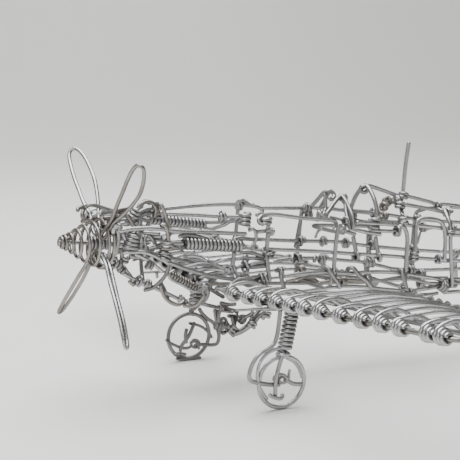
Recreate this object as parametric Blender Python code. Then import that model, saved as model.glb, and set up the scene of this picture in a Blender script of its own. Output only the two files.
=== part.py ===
"""Wire sculpture of a propeller fighter aeroplane that stands on its main wheels and a tail wheel.

Every piece is bent from one gauge of aluminium wire. Sizes are in millimetres and become metres in
one place, placed_points(). The aeroplane is laid out level: x runs aft from the main axle's ground
point, y to starboard and z up. The empty called stance then leans it back until the tail wheel is
down, and moves its box to stand on the origin.
"""

import math

import bmesh
import bpy
from mathutils import Vector

MM = 0.001
PORT, STARBOARD = -1, 1
SIDES = {"port": PORT, "starboard": STARBOARD}

# The wire, drawn with four sides, and how close two wires lie
WIRE = 1.5
CORNER = 0.55 * WIRE
BEND = 1.1
GAP = 0.3
TOUCH = 2 * CORNER + GAP
STARBOARD_LIFT = 1.2

# Propeller and spinner
AXIS_Z = 65.7
PROPELLER_X = -74.4
PROPELLER_RADIUS = 56.2
BLADE_COUNT = 4
BLADE_WIDTH = 8.6
BLADE_PITCH = 46
BLADE_TURN = 44.5
HUB_RADIUS = 2.2
HUB_LENGTH = 5.0
SPINNER_LENGTH = 18.9
SPINNER_RADIUS = 10.4
SPINNER_TURNS = 6.5
SHAFT_END_X = -53.0

# Stations of the hoops along the fuselage
COWL_X = -68.0
COWL_RADIUS = 12.2
ARCH_X = -50.6
ENGINE_X = -47.0
CHIN_X = -26.0
FIREWALL_X = 3.0
WINDSCREEN_X = 40.0
COCKPIT_X = 82.0
REAR_X = 109.0
TAIL_X = 143.0
STERN_X = 197.5

# Fuselage frame
HALF_WIDTH = 15.0
ENGINE_HALF_WIDTH = 13.6
TAIL_HALF_WIDTH = 11.0
STERN_HALF_WIDTH = 2.2
UPPER_Z = 82.2
MIDDLE_Z = 66.2
LOWER_Z = 56.5
ENGINE_TOP_Z = 84.6
ENGINE_FOOT_Z = 44.4
ARCH_TOP_Z = 84.0
REAR_TOP_Z = 88.2
REAR_FOOT_Z = 49.5

# Canopy and mast
CANOPY_X = 66.0
CANOPY_TOP_Z = 98.5
MAST_X = 87.6
MAST_TOP_Z = 120.9
WINDOW_FRONT_X = 87.2
WINDOW_LENGTH = 17.5
WINDOW_TOP_Z = 84.2

# Coils: outside diameter, turns and length
EXHAUST_TURNS = 15
EXHAUST_LENGTH = 29.4
PORT_EXHAUST_DIAMETER = 6.3
STARBOARD_EXHAUST_DIAMETER = 4.8
ENGINE_COIL_DIAMETER = 6.2
ENGINE_COIL_TURNS = 4
ENGINE_COIL_LENGTH = 9.2

# Wings
WING_ROOT = 13.8
HALF_SPAN = 180.0
LEADING_X = -14.3
LEADING_Z = 45.3
WING_SWEEP = 1.5
DIHEDRAL = 4.36
ROOT_CHORD = 98.0
TIP_CHORD = 38.0
TRAILING_RISE = 0.02
CAMBER = 5.2
RIB_STATIONS = (21.0, 34.5, 46.0, 58.5, 70.0, 81.0, 93.5, 108.0, 122.5, 135.5, 147.5, 164.5,
                172.6)
WRAP_DIAMETER = 5.2
WRAP_LENGTH = 4.6
SPAR_AFT = 13.5
BRACE_HEADS = (37.4, 51.4, 74.0)
BRACE_SLANT = 5.2

# Undercarriage
TRACK = 99.4
WHEEL_DIAMETER = 25.0
WHEEL_X = {"port": -2.4, "starboard": -0.2}
WHEEL_SEGMENTS = 16
AXLE_LENGTH = 4.6
SPRING_DIAMETER = 5.6
SPRING_TURNS = 8
SPRING_FOOT_Z = 28.0
SPRING_TOP_Z = 43.1
FORK_RADIUS = 15.6
GUN_REAR_X = -1.9
GUN_LENGTH = 26.8
GUN_SLEEVE_LENGTH = 14.2
GUN_SLEEVE_DIAMETER = 3.0
SCOOP_HALF_WIDTH = 6.0
SCOOP_FOOT_Z = 23.6
TAIL_WHEEL_X = 148.0
TAIL_WHEEL_DIAMETER = 13.0
TAIL_WHEEL_SEGMENTS = 10

# Tail surfaces
TAILPLANE_HALF_SPAN = 62.0
TAILPLANE_X = 163.0
TAILPLANE_Z = 82.4
TAILPLANE_TIP_CHORD = 19.0
TAILPLANE_SWEEP = 13.0
TAILPLANE_RIBS = 4
FIN_X = 158.0
FIN_TOP_Z = 117.4
RUDDER_CHORD = 14.0
RUDDER_FOOT_Z = 62.0

# Leaning back: the tail wheel's height over its distance sets the angle
LEAN = math.radians(5.2)


def wire_finish(name, tint, roughness):
    """Satin aluminium wire, brighter or duller by tint."""
    material = bpy.data.materials.new(name)
    material.use_nodes = True
    shader = material.node_tree.nodes["Principled BSDF"]
    shader.inputs["Base Color"].default_value = (tint, tint * 0.985, tint * 0.96, 1.0)
    shader.inputs["Metallic"].default_value = 0.9
    shader.inputs["Roughness"].default_value = roughness
    return material


def placed_points(points):
    """Design points in millimetres as vectors in metres."""
    return [Vector(point) * MM for point in points]


def wire(name, points, closed=False, thickness=1.0, tilt=0.0):
    """One bent wire. thickness is a number, or one factor a point for wraps and sleeves."""
    curve = bpy.data.curves.new(name, "CURVE")
    curve.dimensions = "3D"
    curve.bevel_depth = CORNER * MM
    curve.bevel_resolution = 0
    curve.use_fill_caps = True
    spline = curve.splines.new("POLY")
    spline.points.add(len(points) - 1)
    factors = thickness if isinstance(thickness, (list, tuple)) else [thickness] * len(points)
    for spot, place, factor in zip(spline.points, placed_points(points), factors):
        spot.co = (*place, 1.0)
        spot.radius = factor
        spot.tilt = tilt
    spline.use_cyclic_u = closed
    piece = bpy.data.objects.new(name, curve)
    piece.data.materials.append(FINISH)
    SCULPTURE.objects.link(piece)
    piece.parent = STANCE
    return piece


def as_mesh(piece):
    """The wire as a mesh object with its end caps welded."""
    bpy.context.view_layer.update()
    evaluated = piece.evaluated_get(bpy.context.evaluated_depsgraph_get())
    mesh = bpy.data.meshes.new_from_object(evaluated)
    shape = bmesh.new()
    shape.from_mesh(mesh)
    bmesh.ops.remove_doubles(shape, verts=shape.verts, dist=1e-7)
    bmesh.ops.recalc_face_normals(shape, faces=shape.faces)
    shape.to_mesh(mesh)
    shape.free()
    name = piece.name
    bpy.data.objects.remove(piece)
    solid = bpy.data.objects.new(name, mesh)
    solid.parent = STANCE
    return solid


def fused(name, pieces):
    """Crossing wires joined into one body."""
    solids = [as_mesh(piece) for piece in pieces]
    first = solids[0]
    first.name = name
    SCULPTURE.objects.link(first)
    for number, other in enumerate(solids[1:], start=1):
        CUTTERS.objects.link(other)
        other.hide_render = True
        other.display_type = "WIRE"
        union = first.modifiers.new(f"join_{number}", "BOOLEAN")
        union.operation = "UNION"
        union.object = other
    return first


def both_sides(name, points, **options):
    """A port wire and its mirror image to starboard, tied a little higher there."""
    for side_name, side in SIDES.items():
        lift = STARBOARD_LIFT if side == STARBOARD else 0.0
        wire(f"{name}_{side_name}", [(x, side * y, z + lift) for x, y, z in points], **options)


def helix(start, end, diameter, turns, steps):
    """Points of a coil of this outside diameter, along the line from start to end."""
    start, end = Vector(start), Vector(end)
    along = end - start
    side = along.cross((0.0, 1.0, 0.0))
    side = side.normalized() if side.length > 1e-6 else Vector((0.0, 0.0, 1.0))
    other = along.normalized().cross(side)
    radius = diameter / 2 - CORNER
    count = round(turns * steps)
    points = []
    for step in range(count + 1):
        angle = 2 * math.pi * step / steps
        swing = side * math.cos(angle) + other * math.sin(angle)
        points.append(start + along * (step / count) + swing * radius)
    return points


def wing_point(span, share, height=0.0):
    """Point of the wing at this distance from the centre line and share of the chord."""
    out = (span - WING_ROOT) / (HALF_SPAN - WING_ROOT)
    chord = ROOT_CHORD + (TIP_CHORD - ROOT_CHORD) * out
    x = LEADING_X + math.tan(math.radians(WING_SWEEP)) * (span - WING_ROOT) + chord * share
    z = LEADING_Z + math.tan(math.radians(DIHEDRAL)) * (span - WING_ROOT)
    return x, span, z + TRAILING_RISE * chord * share + height


def root_z(x):
    """Height of the wing's root wire at this station."""
    return LEADING_Z + TRAILING_RISE * (x - LEADING_X)


def axle_z(x, radius):
    """Level height of an axle at x whose wheel stands on the ground once the sculpture leans."""
    return (radius + x * math.sin(LEAN)) / math.cos(LEAN)


def hoop(name, x, half_width, top, foot, closed=True):
    """A hoop across the fuselage, bent tightly outside the longerons."""
    low = foot + BEND
    high = top - BEND
    inner = half_width - BEND
    points = [(x, -half_width, high), (x, -half_width, low), (x, -inner, foot)]
    points += [(x, -y, z) for _, y, z in reversed(points)]
    if closed:
        points += [(x, inner, top), (x, -inner, top)]
    return wire(name, points, closed=closed)


def arched_hoop(name, x, half_width, shoulder, foot, top):
    """A hoop of the rear fuselage, with its top bent up to the spine."""
    half = [(half_width - BEND, foot), (half_width, foot + BEND), (half_width, shoulder),
            (half_width * 0.5, (shoulder + 2 * top) / 3)]
    ring = [(x, y, z) for y, z in half] + [(x, 0.0, top)] + [(x, -y, z) for y, z in reversed(half)]
    return wire(name, ring, closed=True)


def build_propeller():
    """Spiral spinner, shaft with its hub, and four looped blades."""
    count = round(SPINNER_TURNS * 9)
    spiral = []
    for step in range(count + 1):
        share = step / count
        angle = 2 * math.pi * step / 9
        radius = TOUCH + (SPINNER_RADIUS - CORNER - TOUCH) * share ** 0.8
        x = PROPELLER_X - SPINNER_LENGTH + (SPINNER_LENGTH - 2 * TOUCH) * share
        spiral.append((x, radius * math.sin(angle), AXIS_Z + radius * math.cos(angle)))
    wire("spinner_spiral", spiral)
    tip = PROPELLER_X - SPINNER_LENGTH
    hub_front = PROPELLER_X - HUB_LENGTH / 2
    hub_rear = PROPELLER_X + HUB_LENGTH / 2
    thick = HUB_RADIUS / CORNER
    stops = [(tip, AXIS_Z, 1.0), (hub_front, AXIS_Z, 1.0), (hub_front + 0.2, AXIS_Z, thick),
             (hub_rear, AXIS_Z, thick), (hub_rear + 0.2, AXIS_Z, 1.0), (SHAFT_END_X, AXIS_Z, 1.0),
             (ARCH_X, AXIS_Z + 2.4, 1.0), (ARCH_X, ARCH_TOP_Z - CORNER - GAP, 1.0)]
    wire("propeller_shaft", [(x, 0.0, z) for x, z, _ in stops],
         thickness=[factor for _, _, factor in stops], tilt=math.radians(45))
    for number in range(BLADE_COUNT):
        build_blade(number + 1, math.radians(BLADE_TURN + 360 / BLADE_COUNT * number))


def build_blade(number, turn):
    """One blade: a closed loop that widens towards its tip, set at the blade's pitch."""
    out = Vector((0.0, math.sin(turn), math.cos(turn)))
    round_the_hub = Vector((0.0, math.cos(turn), -math.sin(turn)))
    pitch = math.radians(BLADE_PITCH)
    across = round_the_hub * math.cos(pitch) - Vector((1.0, 0.0, 0.0)) * math.sin(pitch)
    root = HUB_RADIUS + GAP + CORNER
    length = PROPELLER_RADIUS - CORNER - root
    shape = ((0.0, 0.2), (0.2, 0.55), (0.4, 0.9), (0.62, 1.0), (0.84, 0.82), (0.96, 0.46))
    centre = Vector((PROPELLER_X, 0.0, AXIS_Z))
    edge = [(root + length * share, BLADE_WIDTH / 2 * width) for share, width in shape]
    tip = (PROPELLER_RADIUS - CORNER, 0.0)
    loop = edge + [tip] + [(reach, -half) for reach, half in reversed(edge)]
    wire(f"propeller_blade_{number}", [centre + out * r + across * w for r, w in loop], closed=True)


def build_engine():
    """Cowl ring, engine hoops, rails, exhaust coils and the chin."""
    steps = 14
    ring = [2 * math.pi * step / steps for step in range(steps)]
    cowl = [(COWL_X, COWL_RADIUS * math.sin(angle), AXIS_Z + COWL_RADIUS * math.cos(angle))
            for angle in ring]
    wire("cowl_ring", cowl, closed=True)
    middle = (ENGINE_TOP_Z + ENGINE_FOOT_Z) / 2
    rise = (ENGINE_TOP_Z - ENGINE_FOOT_Z) / 2
    oval = []
    for step in range(16):
        angle = 2 * math.pi * (step + 0.5) / 16
        y = math.copysign(abs(math.sin(angle)) ** 0.8, math.sin(angle)) * ENGINE_HALF_WIDTH
        z = math.copysign(abs(math.cos(angle)) ** 0.8, math.cos(angle)) * rise
        oval.append((ENGINE_X, y, middle + z))
    wire("engine_hoop", oval, closed=True)
    side = ENGINE_HALF_WIDTH + TOUCH
    foot = side - 1.2 - TOUCH
    arch = [(-foot, 73.4), (-foot, 78.0), (-7.6, ARCH_TOP_Z - 1.6), (-3.0, ARCH_TOP_Z),
            (3.0, ARCH_TOP_Z), (7.6, ARCH_TOP_Z - 1.6), (foot, 78.0), (foot, 74.6)]
    wire("engine_arch", [(ARCH_X, y, z) for y, z in arch])
    both_sides("engine_rail", [(COWL_X - 1.4, COWL_RADIUS + 0.2, 72.6), (ARCH_X, side - 1.2, 73.8),
                               (ENGINE_X, side, 74.2), (-8.0, side, 73.6),
                               (FIREWALL_X + 2.0, HALF_WIDTH, 75.2)])
    both_sides("chin_rail", [(COWL_X - 1.4, COWL_RADIUS + TOUCH, 61.8), (ENGINE_X, side, 59.8),
                             (CHIN_X, side - 1.4, 55.6), (FIREWALL_X + 2.0, HALF_WIDTH, 51.4)])
    keel = [(COWL_X - 1.4, AXIS_Z - COWL_RADIUS - TOUCH), (-57.0, 50.6),
            (ENGINE_X, ENGINE_FOOT_Z + TOUCH + GAP), (CHIN_X, 39.6), (LEADING_X - 1.0, 36.9)]
    wire("chin_keel", [(x, 0.0, z) for x, z in keel])
    chin = side - 1.4 + TOUCH
    wire("chin_hoop", [(CHIN_X, -chin, 57.4), (CHIN_X, -chin, 47.0), (CHIN_X, -9.0, 38.6),
                       (CHIN_X, 0.0, 39.6 - TOUCH), (CHIN_X, 9.0, 38.6), (CHIN_X, chin, 47.0),
                       (CHIN_X, chin, 58.6)])
    port = helix((-38.6, -HALF_WIDTH, 68.3), (-38.6 + EXHAUST_LENGTH, -HALF_WIDTH, 68.6),
                 PORT_EXHAUST_DIAMETER, EXHAUST_TURNS, 7)
    lead = (ENGINE_X + 1.4, TOUCH - HALF_WIDTH, 68.0)
    wire("exhaust_coil_port", [lead] + port + [(-5.4, -HALF_WIDTH, 70.2)])
    starboard = helix((-44.2, 10.6, 75.0), (-44.2 + EXHAUST_LENGTH, 11.2, 74.8),
                      STARBOARD_EXHAUST_DIAMETER, EXHAUST_TURNS, 6)
    wire("exhaust_coil_starboard", starboard + [(-11.6, 11.2, 75.2), (-8.6, 12.4, 81.6)])
    coil_foot = 64.0
    wire("engine_coil", helix((-58.5, -10.6, coil_foot), (-58.5, -10.6, coil_foot + ENGINE_COIL_LENGTH),
                              ENGINE_COIL_DIAMETER, ENGINE_COIL_TURNS, 8))


def build_fuselage():
    """Three pairs of longerons, the hoops around them and the spine."""
    upper = [(-45.0, 11.2, UPPER_Z - 1.4), (-12.0, 12.4, UPPER_Z - 0.5), (FIREWALL_X, HALF_WIDTH, UPPER_Z),
             (WINDSCREEN_X, HALF_WIDTH, UPPER_Z - 0.5), (COCKPIT_X, HALF_WIDTH, UPPER_Z - 0.4),
             (REAR_X, HALF_WIDTH, UPPER_Z - 2.8), (TAIL_X, TAIL_HALF_WIDTH, UPPER_Z - 3.4),
             (STERN_X - TOUCH, STERN_HALF_WIDTH, UPPER_Z - 4.6)]
    both_sides("upper_longeron", upper)
    middle = [(FIREWALL_X - 4.0, HALF_WIDTH, MIDDLE_Z), (50.0, HALF_WIDTH, MIDDLE_Z - 0.4),
              (COCKPIT_X, HALF_WIDTH, MIDDLE_Z - 1.9), (REAR_X, HALF_WIDTH, MIDDLE_Z - 2.8),
              (TAIL_X, TAIL_HALF_WIDTH, MIDDLE_Z - 2.2), (STERN_X - TOUCH, STERN_HALF_WIDTH, MIDDLE_Z + 4.0)]
    both_sides("middle_longeron", middle)
    lower = [(20.0, HALF_WIDTH, LOWER_Z), (COCKPIT_X - 4.0, HALF_WIDTH, LOWER_Z + 0.2),
             (REAR_X, HALF_WIDTH, LOWER_Z - 4.0), (TAIL_X, TAIL_HALF_WIDTH, LOWER_Z - 1.6),
             (STERN_X - TOUCH, STERN_HALF_WIDTH, LOWER_Z + 6.5)]
    both_sides("lower_longeron", lower)
    outside = HALF_WIDTH + TOUCH
    above = STARBOARD_LIFT + TOUCH
    hoop("firewall_hoop", FIREWALL_X, outside, UPPER_Z + above, root_z(FIREWALL_X) + TOUCH)
    hoop("windscreen_hoop", WINDSCREEN_X, outside, UPPER_Z + 4.6, root_z(WINDSCREEN_X) + TOUCH, closed=False)
    hoop("cockpit_hoop", COCKPIT_X, outside, UPPER_Z + 2.0, REAR_FOOT_Z, closed=False)
    arched_hoop("rear_hoop", REAR_X, outside, UPPER_Z + 0.8, REAR_FOOT_Z, REAR_TOP_Z)
    arched_hoop("tail_hoop", TAIL_X, TAIL_HALF_WIDTH + TOUCH, UPPER_Z, LOWER_Z - 1.6 - TOUCH,
                REAR_TOP_Z - 1.6)
    spine = [(CANOPY_X + TOUCH, CANOPY_TOP_Z - 0.2), (85.0, 94.0), (REAR_X, REAR_TOP_Z + TOUCH),
             (TAIL_X, REAR_TOP_Z - 1.6 + TOUCH), (FIN_X, 86.4)]
    wire("spine", [(x, 0.0, z) for x, z in spine])


def build_canopy():
    """Windscreen frame, canopy arch, cockpit rails, side windows and mast."""
    sill = UPPER_Z - 0.5 + TOUCH
    wire("windscreen_frame", [(35.0, -HALF_WIDTH, sill), (47.0, -6.4, 92.4), (47.0, 6.2, 92.8),
                              (37.6, HALF_WIDTH, sill + STARBOARD_LIFT)])
    for side_name, side in SIDES.items():
        outer = HALF_WIDTH + TOUCH
        frame = [(49.8, outer, 76.9), (49.4, outer, UPPER_Z + 2.0), (49.0, 6.6, 92.3)]
        wire(f"quarter_frame_{side_name}", [(x, side * y, z) for x, y, z in frame])
    foot = HALF_WIDTH - TOUCH
    half = [(foot, UPPER_Z - 2.4), (foot - 0.4, UPPER_Z + 2.0), (8.6, 93.0), (3.2, CANOPY_TOP_Z - 0.8)]
    wire("canopy_arch", [(CANOPY_X, y, z) for y, z in half] + [(CANOPY_X, -y, z) for y, z in reversed(half)])
    rail = [(REAR_X - CORNER - GAP, 8.0, 87.0), (COCKPIT_X + 1.0, 8.8, 89.6)]
    wire("canopy_rail", rail + [(x, -y, z) for x, y, z in reversed(rail)])
    outside = HALF_WIDTH + TOUCH
    foot = MIDDLE_Z - 2.6
    end = WINDOW_FRONT_X + WINDOW_LENGTH
    window = [(WINDOW_FRONT_X + 0.6, foot), (WINDOW_FRONT_X, WINDOW_TOP_Z - 2.4),
              (WINDOW_FRONT_X + 2.0, WINDOW_TOP_Z), (end - 2.6, WINDOW_TOP_Z),
              (end - 0.4, WINDOW_TOP_Z - 2.4), (end + 0.6, foot)]
    wire("side_window", [(x, -outside, z) for x, z in window])
    front, rear = WINDSCREEN_X + TOUCH, COCKPIT_X - TOUCH
    wire("cockpit_rail", [(rear, outside, 75.0), (front, outside, 75.0), (front, -outside, 75.0),
                          (rear, -outside, 75.0)])
    wire("mast", [(MAST_X, 0.0, 94.8), (MAST_X + 0.3, 0.0, MAST_TOP_Z)])


def build_wings():
    """Wing frames with the wraps along the leading edge, rib wires, root braces and one spar."""
    for side_name, side in SIDES.items():
        points, factors = [], []
        bulge = WRAP_DIAMETER / 2 / CORNER
        points.append(wing_point(WING_ROOT, 0.0))
        factors.append(1.0)
        for station in RIB_STATIONS:
            for offset, factor in ((-0.5, 1.0), (-0.46, bulge), (0.46, bulge), (0.5, 1.0)):
                points.append(wing_point(station + WRAP_LENGTH * offset, 0.0))
                factors.append(factor)
        for span, share in ((HALF_SPAN - 3.0, 0.04), (HALF_SPAN - 0.8, 0.2), (HALF_SPAN, 0.5),
                            (HALF_SPAN - 1.2, 0.84), (HALF_SPAN - 4.0, 1.0), (WING_ROOT, 1.0)):
            points.append(wing_point(span, share))
            factors.append(1.0)
        wire(f"wing_frame_{side_name}", [(x, side * y, z) for x, y, z in points], closed=True,
             thickness=factors)
        wire(f"wing_ribs_{side_name}", [(x, side * y, z) for x, y, z in rib_route()])
        brace = []
        lift = STARBOARD_LIFT if side == STARBOARD else 0.0
        for number, x in enumerate(BRACE_HEADS):
            foot = (x + BRACE_SLANT, side * WING_ROOT, root_z(x) + TOUCH)
            head = (x, side * HALF_WIDTH, LOWER_Z - TOUCH + lift)
            brace += [foot, head] if number % 2 == 0 else [head, foot]
        wire(f"wing_brace_{side_name}", brace)
    spar = [wing_point(span, 0.0, -TOUCH) for span in (WING_ROOT, HALF_SPAN - 6.0)]
    spar = [(x + SPAR_AFT, y, z) for x, y, z in spar]
    wire("wing_spar", [(x, -y, z) for x, y, z in reversed(spar)] + spar)


def rib_route():
    """The rib wire: over each rib's arc in turn, and along the edge to the next."""
    arc = ((0.0, 0.0), (0.07, 0.62), (0.25, 1.0), (0.6, 0.8), (1.0, 0.0))
    clear = WRAP_DIAMETER / 2 + GAP + CORNER
    route = []
    for number, station in enumerate(RIB_STATIONS):
        front = wing_point(station, 0.0)[0] + clear
        rear = wing_point(station, 1.0)[0] - TOUCH
        run = []
        for share, height in arc:
            _, span, z = wing_point(station, share)
            run.append((front + (rear - front) * share, span, z + CAMBER * height))
        route += run if number % 2 == 0 else reversed(run)
    return route


def build_undercarriage():
    """Sprung legs, wheels, gun barrels and the belly scoop."""
    half_track = TRACK / 2
    for side_name, side in SIDES.items():
        wheel_x = WHEEL_X[side_name]
        wheel_z = axle_z(wheel_x, WHEEL_DIAMETER / 2)
        y = side * half_track
        beside = y + side * (TOUCH + GAP)
        build_wheel(f"wheel_{side_name}", wheel_x, y, WHEEL_DIAMETER, WHEEL_SEGMENTS, AXLE_LENGTH)
        spring = helix((wheel_x + 1.8, y, SPRING_TOP_Z), (wheel_x, y, SPRING_FOOT_Z), SPRING_DIAMETER,
                       SPRING_TURNS, 7)
        wire(f"leg_spring_{side_name}", spring + [(wheel_x - 3.0, beside, wheel_z + 12.6),
                                                  (wheel_x - 3.4, beside, wheel_z + 6.0),
                                                  (wheel_x - 2.8, beside, wheel_z - 5.2)])
        build_fork(side_name, side, wheel_x, wheel_z)
        gun_y = half_track + 0.9
        sleeve = GUN_SLEEVE_DIAMETER / 2
        leading_z = wing_point(gun_y, 0.0)[2]
        gun_z = leading_z - CORNER - GAP - sleeve
        split = GUN_REAR_X - GUN_SLEEVE_LENGTH
        stops = [(GUN_REAR_X - GUN_LENGTH, 1.0), (split, 1.0), (split + 0.2, sleeve / CORNER),
                 (GUN_REAR_X, sleeve / CORNER)]
        wire(f"gun_barrel_{side_name}", [(x, side * gun_y, gun_z) for x, _ in stops],
             thickness=[factor for _, factor in stops])
    wide, foot = SCOOP_HALF_WIDTH, SCOOP_FOOT_Z
    half_loop = [(LEADING_X + 1.4, wide, 35.4), (0.0, wide - 1.0, foot), (16.0, wide, foot + 4.6),
                 (32.0, WING_ROOT - 1.5, root_z(32.0) - 0.9)]
    wire("belly_scoop", half_loop + [(x, -y, z) for x, y, z in reversed(half_loop)], closed=True)
    build_wheel("tail_wheel", TAIL_WHEEL_X, 0.0, TAIL_WHEEL_DIAMETER, TAIL_WHEEL_SEGMENTS, 2.4)
    axle = axle_z(TAIL_WHEEL_X, TAIL_WHEEL_DIAMETER / 2)
    head = LOWER_Z - 1.6 - 2 * TOUCH
    beside = 1.2 + GAP + CORNER
    wire("tail_leg", [(TAIL_WHEEL_X, -beside, axle - 1.0), (TAIL_X, -beside, head), (TAIL_X, beside, head),
                      (TAIL_WHEEL_X, beside, axle - 1.0)])


def build_fork(side_name, side, wheel_x, wheel_z):
    """The bent wire round a main wheel: in front of the port wheel, behind the starboard one."""
    y = side * TRACK / 2
    arc = []
    for angle in (118, 142, 166, 186):
        turn = math.radians(angle)
        arc.append((side * FORK_RADIUS * -math.cos(turn), wheel_z + FORK_RADIUS * math.sin(turn)))
    arc.append((side * (WHEEL_DIAMETER + TOUCH) / 2, wheel_z - 2.0))
    if side == PORT:
        top = [(-4.2, SPRING_TOP_Z + 0.5), (-6.2, 30.0)]
    else:
        top = [(2.2, SPRING_TOP_Z + 3.2), (7.4, SPRING_TOP_Z), (7.8, 30.0)]
    wire(f"leg_fork_{side_name}", [(wheel_x + x, y, z) for x, z in top + arc])


def build_wheel(name, x, y, diameter, segments, axle_length):
    """A wire wheel with crossed spokes, flat where it meets the ground once the sculpture leans."""
    centre_z = axle_z(x, diameter / 2)
    flat = CORNER * math.cos(math.radians(45))
    radius = (diameter / 2 - flat) / math.cos(math.pi / segments)
    ring = []
    for step in range(segments):
        angle = 2 * math.pi * (step + 0.5) / segments - LEAN
        ring.append((x - radius * math.sin(angle), y, centre_z - radius * math.cos(angle)))
    reach = radius - CORNER / 2
    upright = [(x, y + 0.2, centre_z - reach), (x, y + 0.2, centre_z + reach)]
    level = [(x - reach, y - 0.2, centre_z - 0.3), (x + reach, y - 0.2, centre_z + 0.3)]
    axle = [(x, y - axle_length / 2, centre_z), (x, y + axle_length / 2, centre_z)]
    fused(name, [wire(f"{name}_rim", ring, closed=True, tilt=math.radians(45)),
                 wire(f"{name}_spoke_1", upright), wire(f"{name}_spoke_2", level),
                 wire(f"{name}_axle", axle, thickness=1.5)])


def build_tail():
    """Fin, rudder and tailplane, plainer than the nose."""
    fin = [(FIN_X - 5.0, 87.2 + TOUCH), (FIN_X, 86.5 + TOUCH), (180.0, FIN_TOP_Z - 5.0), (186.0, FIN_TOP_Z),
           (STERN_X - 3.5, FIN_TOP_Z), (STERN_X, FIN_TOP_Z - 4.0), (STERN_X, RUDDER_FOOT_Z)]
    wire("fin", [(x, 0.0, z) for x, z in fin])
    front = STERN_X + TOUCH
    back = front + RUDDER_CHORD
    wire("rudder", [(front, 0.0, FIN_TOP_Z - 3.0), (front + 6.0, 0.0, FIN_TOP_Z - 5.0),
                    (back - 2.0, 0.0, FIN_TOP_Z - 20.0), (back, 0.0, FIN_TOP_Z - 36.0),
                    (back - 4.0, 0.0, RUDDER_FOOT_Z + 3.0), (front, 0.0, RUDDER_FOOT_Z)], closed=True)
    tip_x = TAILPLANE_X + TAILPLANE_SWEEP
    tip_rear = tip_x + TAILPLANE_TIP_CHORD
    rear = STERN_X - TOUCH
    half = [(TAILPLANE_X, 2.0), (tip_x - 1.0, TAILPLANE_HALF_SPAN - 4.0), (tip_x + 4.0, TAILPLANE_HALF_SPAN),
            (tip_rear - 4.0, TAILPLANE_HALF_SPAN), (tip_rear, TAILPLANE_HALF_SPAN - 5.0), (rear, 6.0)]
    loop = [(x, y, TAILPLANE_Z) for x, y in half] + [(x, -y, TAILPLANE_Z) for x, y in reversed(half)]
    wire("tailplane_frame", loop, closed=True)
    route = []
    count = 2 * TAILPLANE_RIBS
    spacing = 2 * (TAILPLANE_HALF_SPAN - 9.0) / (count - 1)
    for number in range(count):
        y = number * spacing - (TAILPLANE_HALF_SPAN - 9.0)
        out = abs(y) / TAILPLANE_HALF_SPAN
        nose = TAILPLANE_X + TAILPLANE_SWEEP * out
        tail = rear + (tip_rear - rear) * out
        run = [(nose, y, TAILPLANE_Z + TOUCH), (tail, y, TAILPLANE_Z + TOUCH)]
        route += run if number % 2 == 0 else reversed(run)
    wire("tailplane_ribs", route)


def stand_on_origin():
    """Lean the sculpture back and put the middle of its box's underside on the origin."""
    STANCE.rotation_euler = (0.0, LEAN, 0.0)
    bpy.context.view_layer.update()
    graph = bpy.context.evaluated_depsgraph_get()
    corners = []
    for piece in SCULPTURE.objects:
        if piece.type == "EMPTY":
            continue
        shown = piece.evaluated_get(graph)
        mesh = shown.to_mesh()
        corners += [piece.matrix_world @ vertex.co for vertex in mesh.vertices]
        shown.to_mesh_clear()
    low = Vector([min(corner[axis] for corner in corners) for axis in range(3)])
    high = Vector([max(corner[axis] for corner in corners) for axis in range(3)])
    STANCE.location = (-(low.x + high.x) / 2, -(low.y + high.y) / 2, -low.z)


for leftover in list(bpy.data.objects):
    bpy.data.objects.remove(leftover)
SCULPTURE = bpy.data.collections.new("wire_aeroplane")
CUTTERS = bpy.data.collections.new("cutters")
bpy.context.scene.collection.children.link(SCULPTURE)
bpy.context.scene.collection.children.link(CUTTERS)
FINISH = wire_finish("aluminium_wire", 0.62, 0.36)
STANCE = bpy.data.objects.new("stance", None)
SCULPTURE.objects.link(STANCE)
build_propeller()
build_engine()
build_fuselage()
build_canopy()
build_wings()
build_undercarriage()
build_tail()
stand_on_origin()
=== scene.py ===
"""Wire sculpture of a propeller fighter aeroplane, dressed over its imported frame.

Every piece is one length of aluminium wire, bent from points in level design millimetres: x runs
aft from the main axle's ground point, y to starboard and z up. Stance leans them back as the CAD
frame leans, and turns them into the frame's metres. In the names of pieces, near is port and far
is starboard, as the photograph shows them.
"""

import logging
import math
from dataclasses import dataclass
from enum import Enum
from typing import Iterable, Sequence

import bmesh
import bpy
from mathutils import Matrix, Vector


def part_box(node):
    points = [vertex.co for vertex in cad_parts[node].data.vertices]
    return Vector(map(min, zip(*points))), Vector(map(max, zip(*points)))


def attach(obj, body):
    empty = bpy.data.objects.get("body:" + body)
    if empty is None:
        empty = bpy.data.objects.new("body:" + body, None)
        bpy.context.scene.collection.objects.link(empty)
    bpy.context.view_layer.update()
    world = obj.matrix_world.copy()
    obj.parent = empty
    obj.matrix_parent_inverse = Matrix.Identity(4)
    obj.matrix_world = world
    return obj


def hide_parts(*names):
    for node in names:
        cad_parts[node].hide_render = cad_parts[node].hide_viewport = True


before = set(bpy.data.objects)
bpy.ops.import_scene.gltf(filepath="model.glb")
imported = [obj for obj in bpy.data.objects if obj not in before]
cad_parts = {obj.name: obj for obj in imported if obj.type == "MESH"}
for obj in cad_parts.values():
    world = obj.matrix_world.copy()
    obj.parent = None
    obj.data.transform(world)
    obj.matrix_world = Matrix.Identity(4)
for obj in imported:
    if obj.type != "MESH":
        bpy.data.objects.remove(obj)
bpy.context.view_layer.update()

log = logging.getLogger("wire_aeroplane")

MM = 0.001
LEAN = math.radians(5.2)
SHAFT_Z = 65.7  # level height of the propeller shaft

# Radii of the wires, in millimetres
WIRE = 0.98  # the main gauge
COIL_WIRE = 0.88  # close coils
KNOT_WIRE = 0.84  # the wraps that bind joints
STOUT_KNOT_WIRE = WIRE * 0.88  # the wraps of the frame's own joints
RIB_WIRE = WIRE * 0.9  # short ribs of the tail

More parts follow.
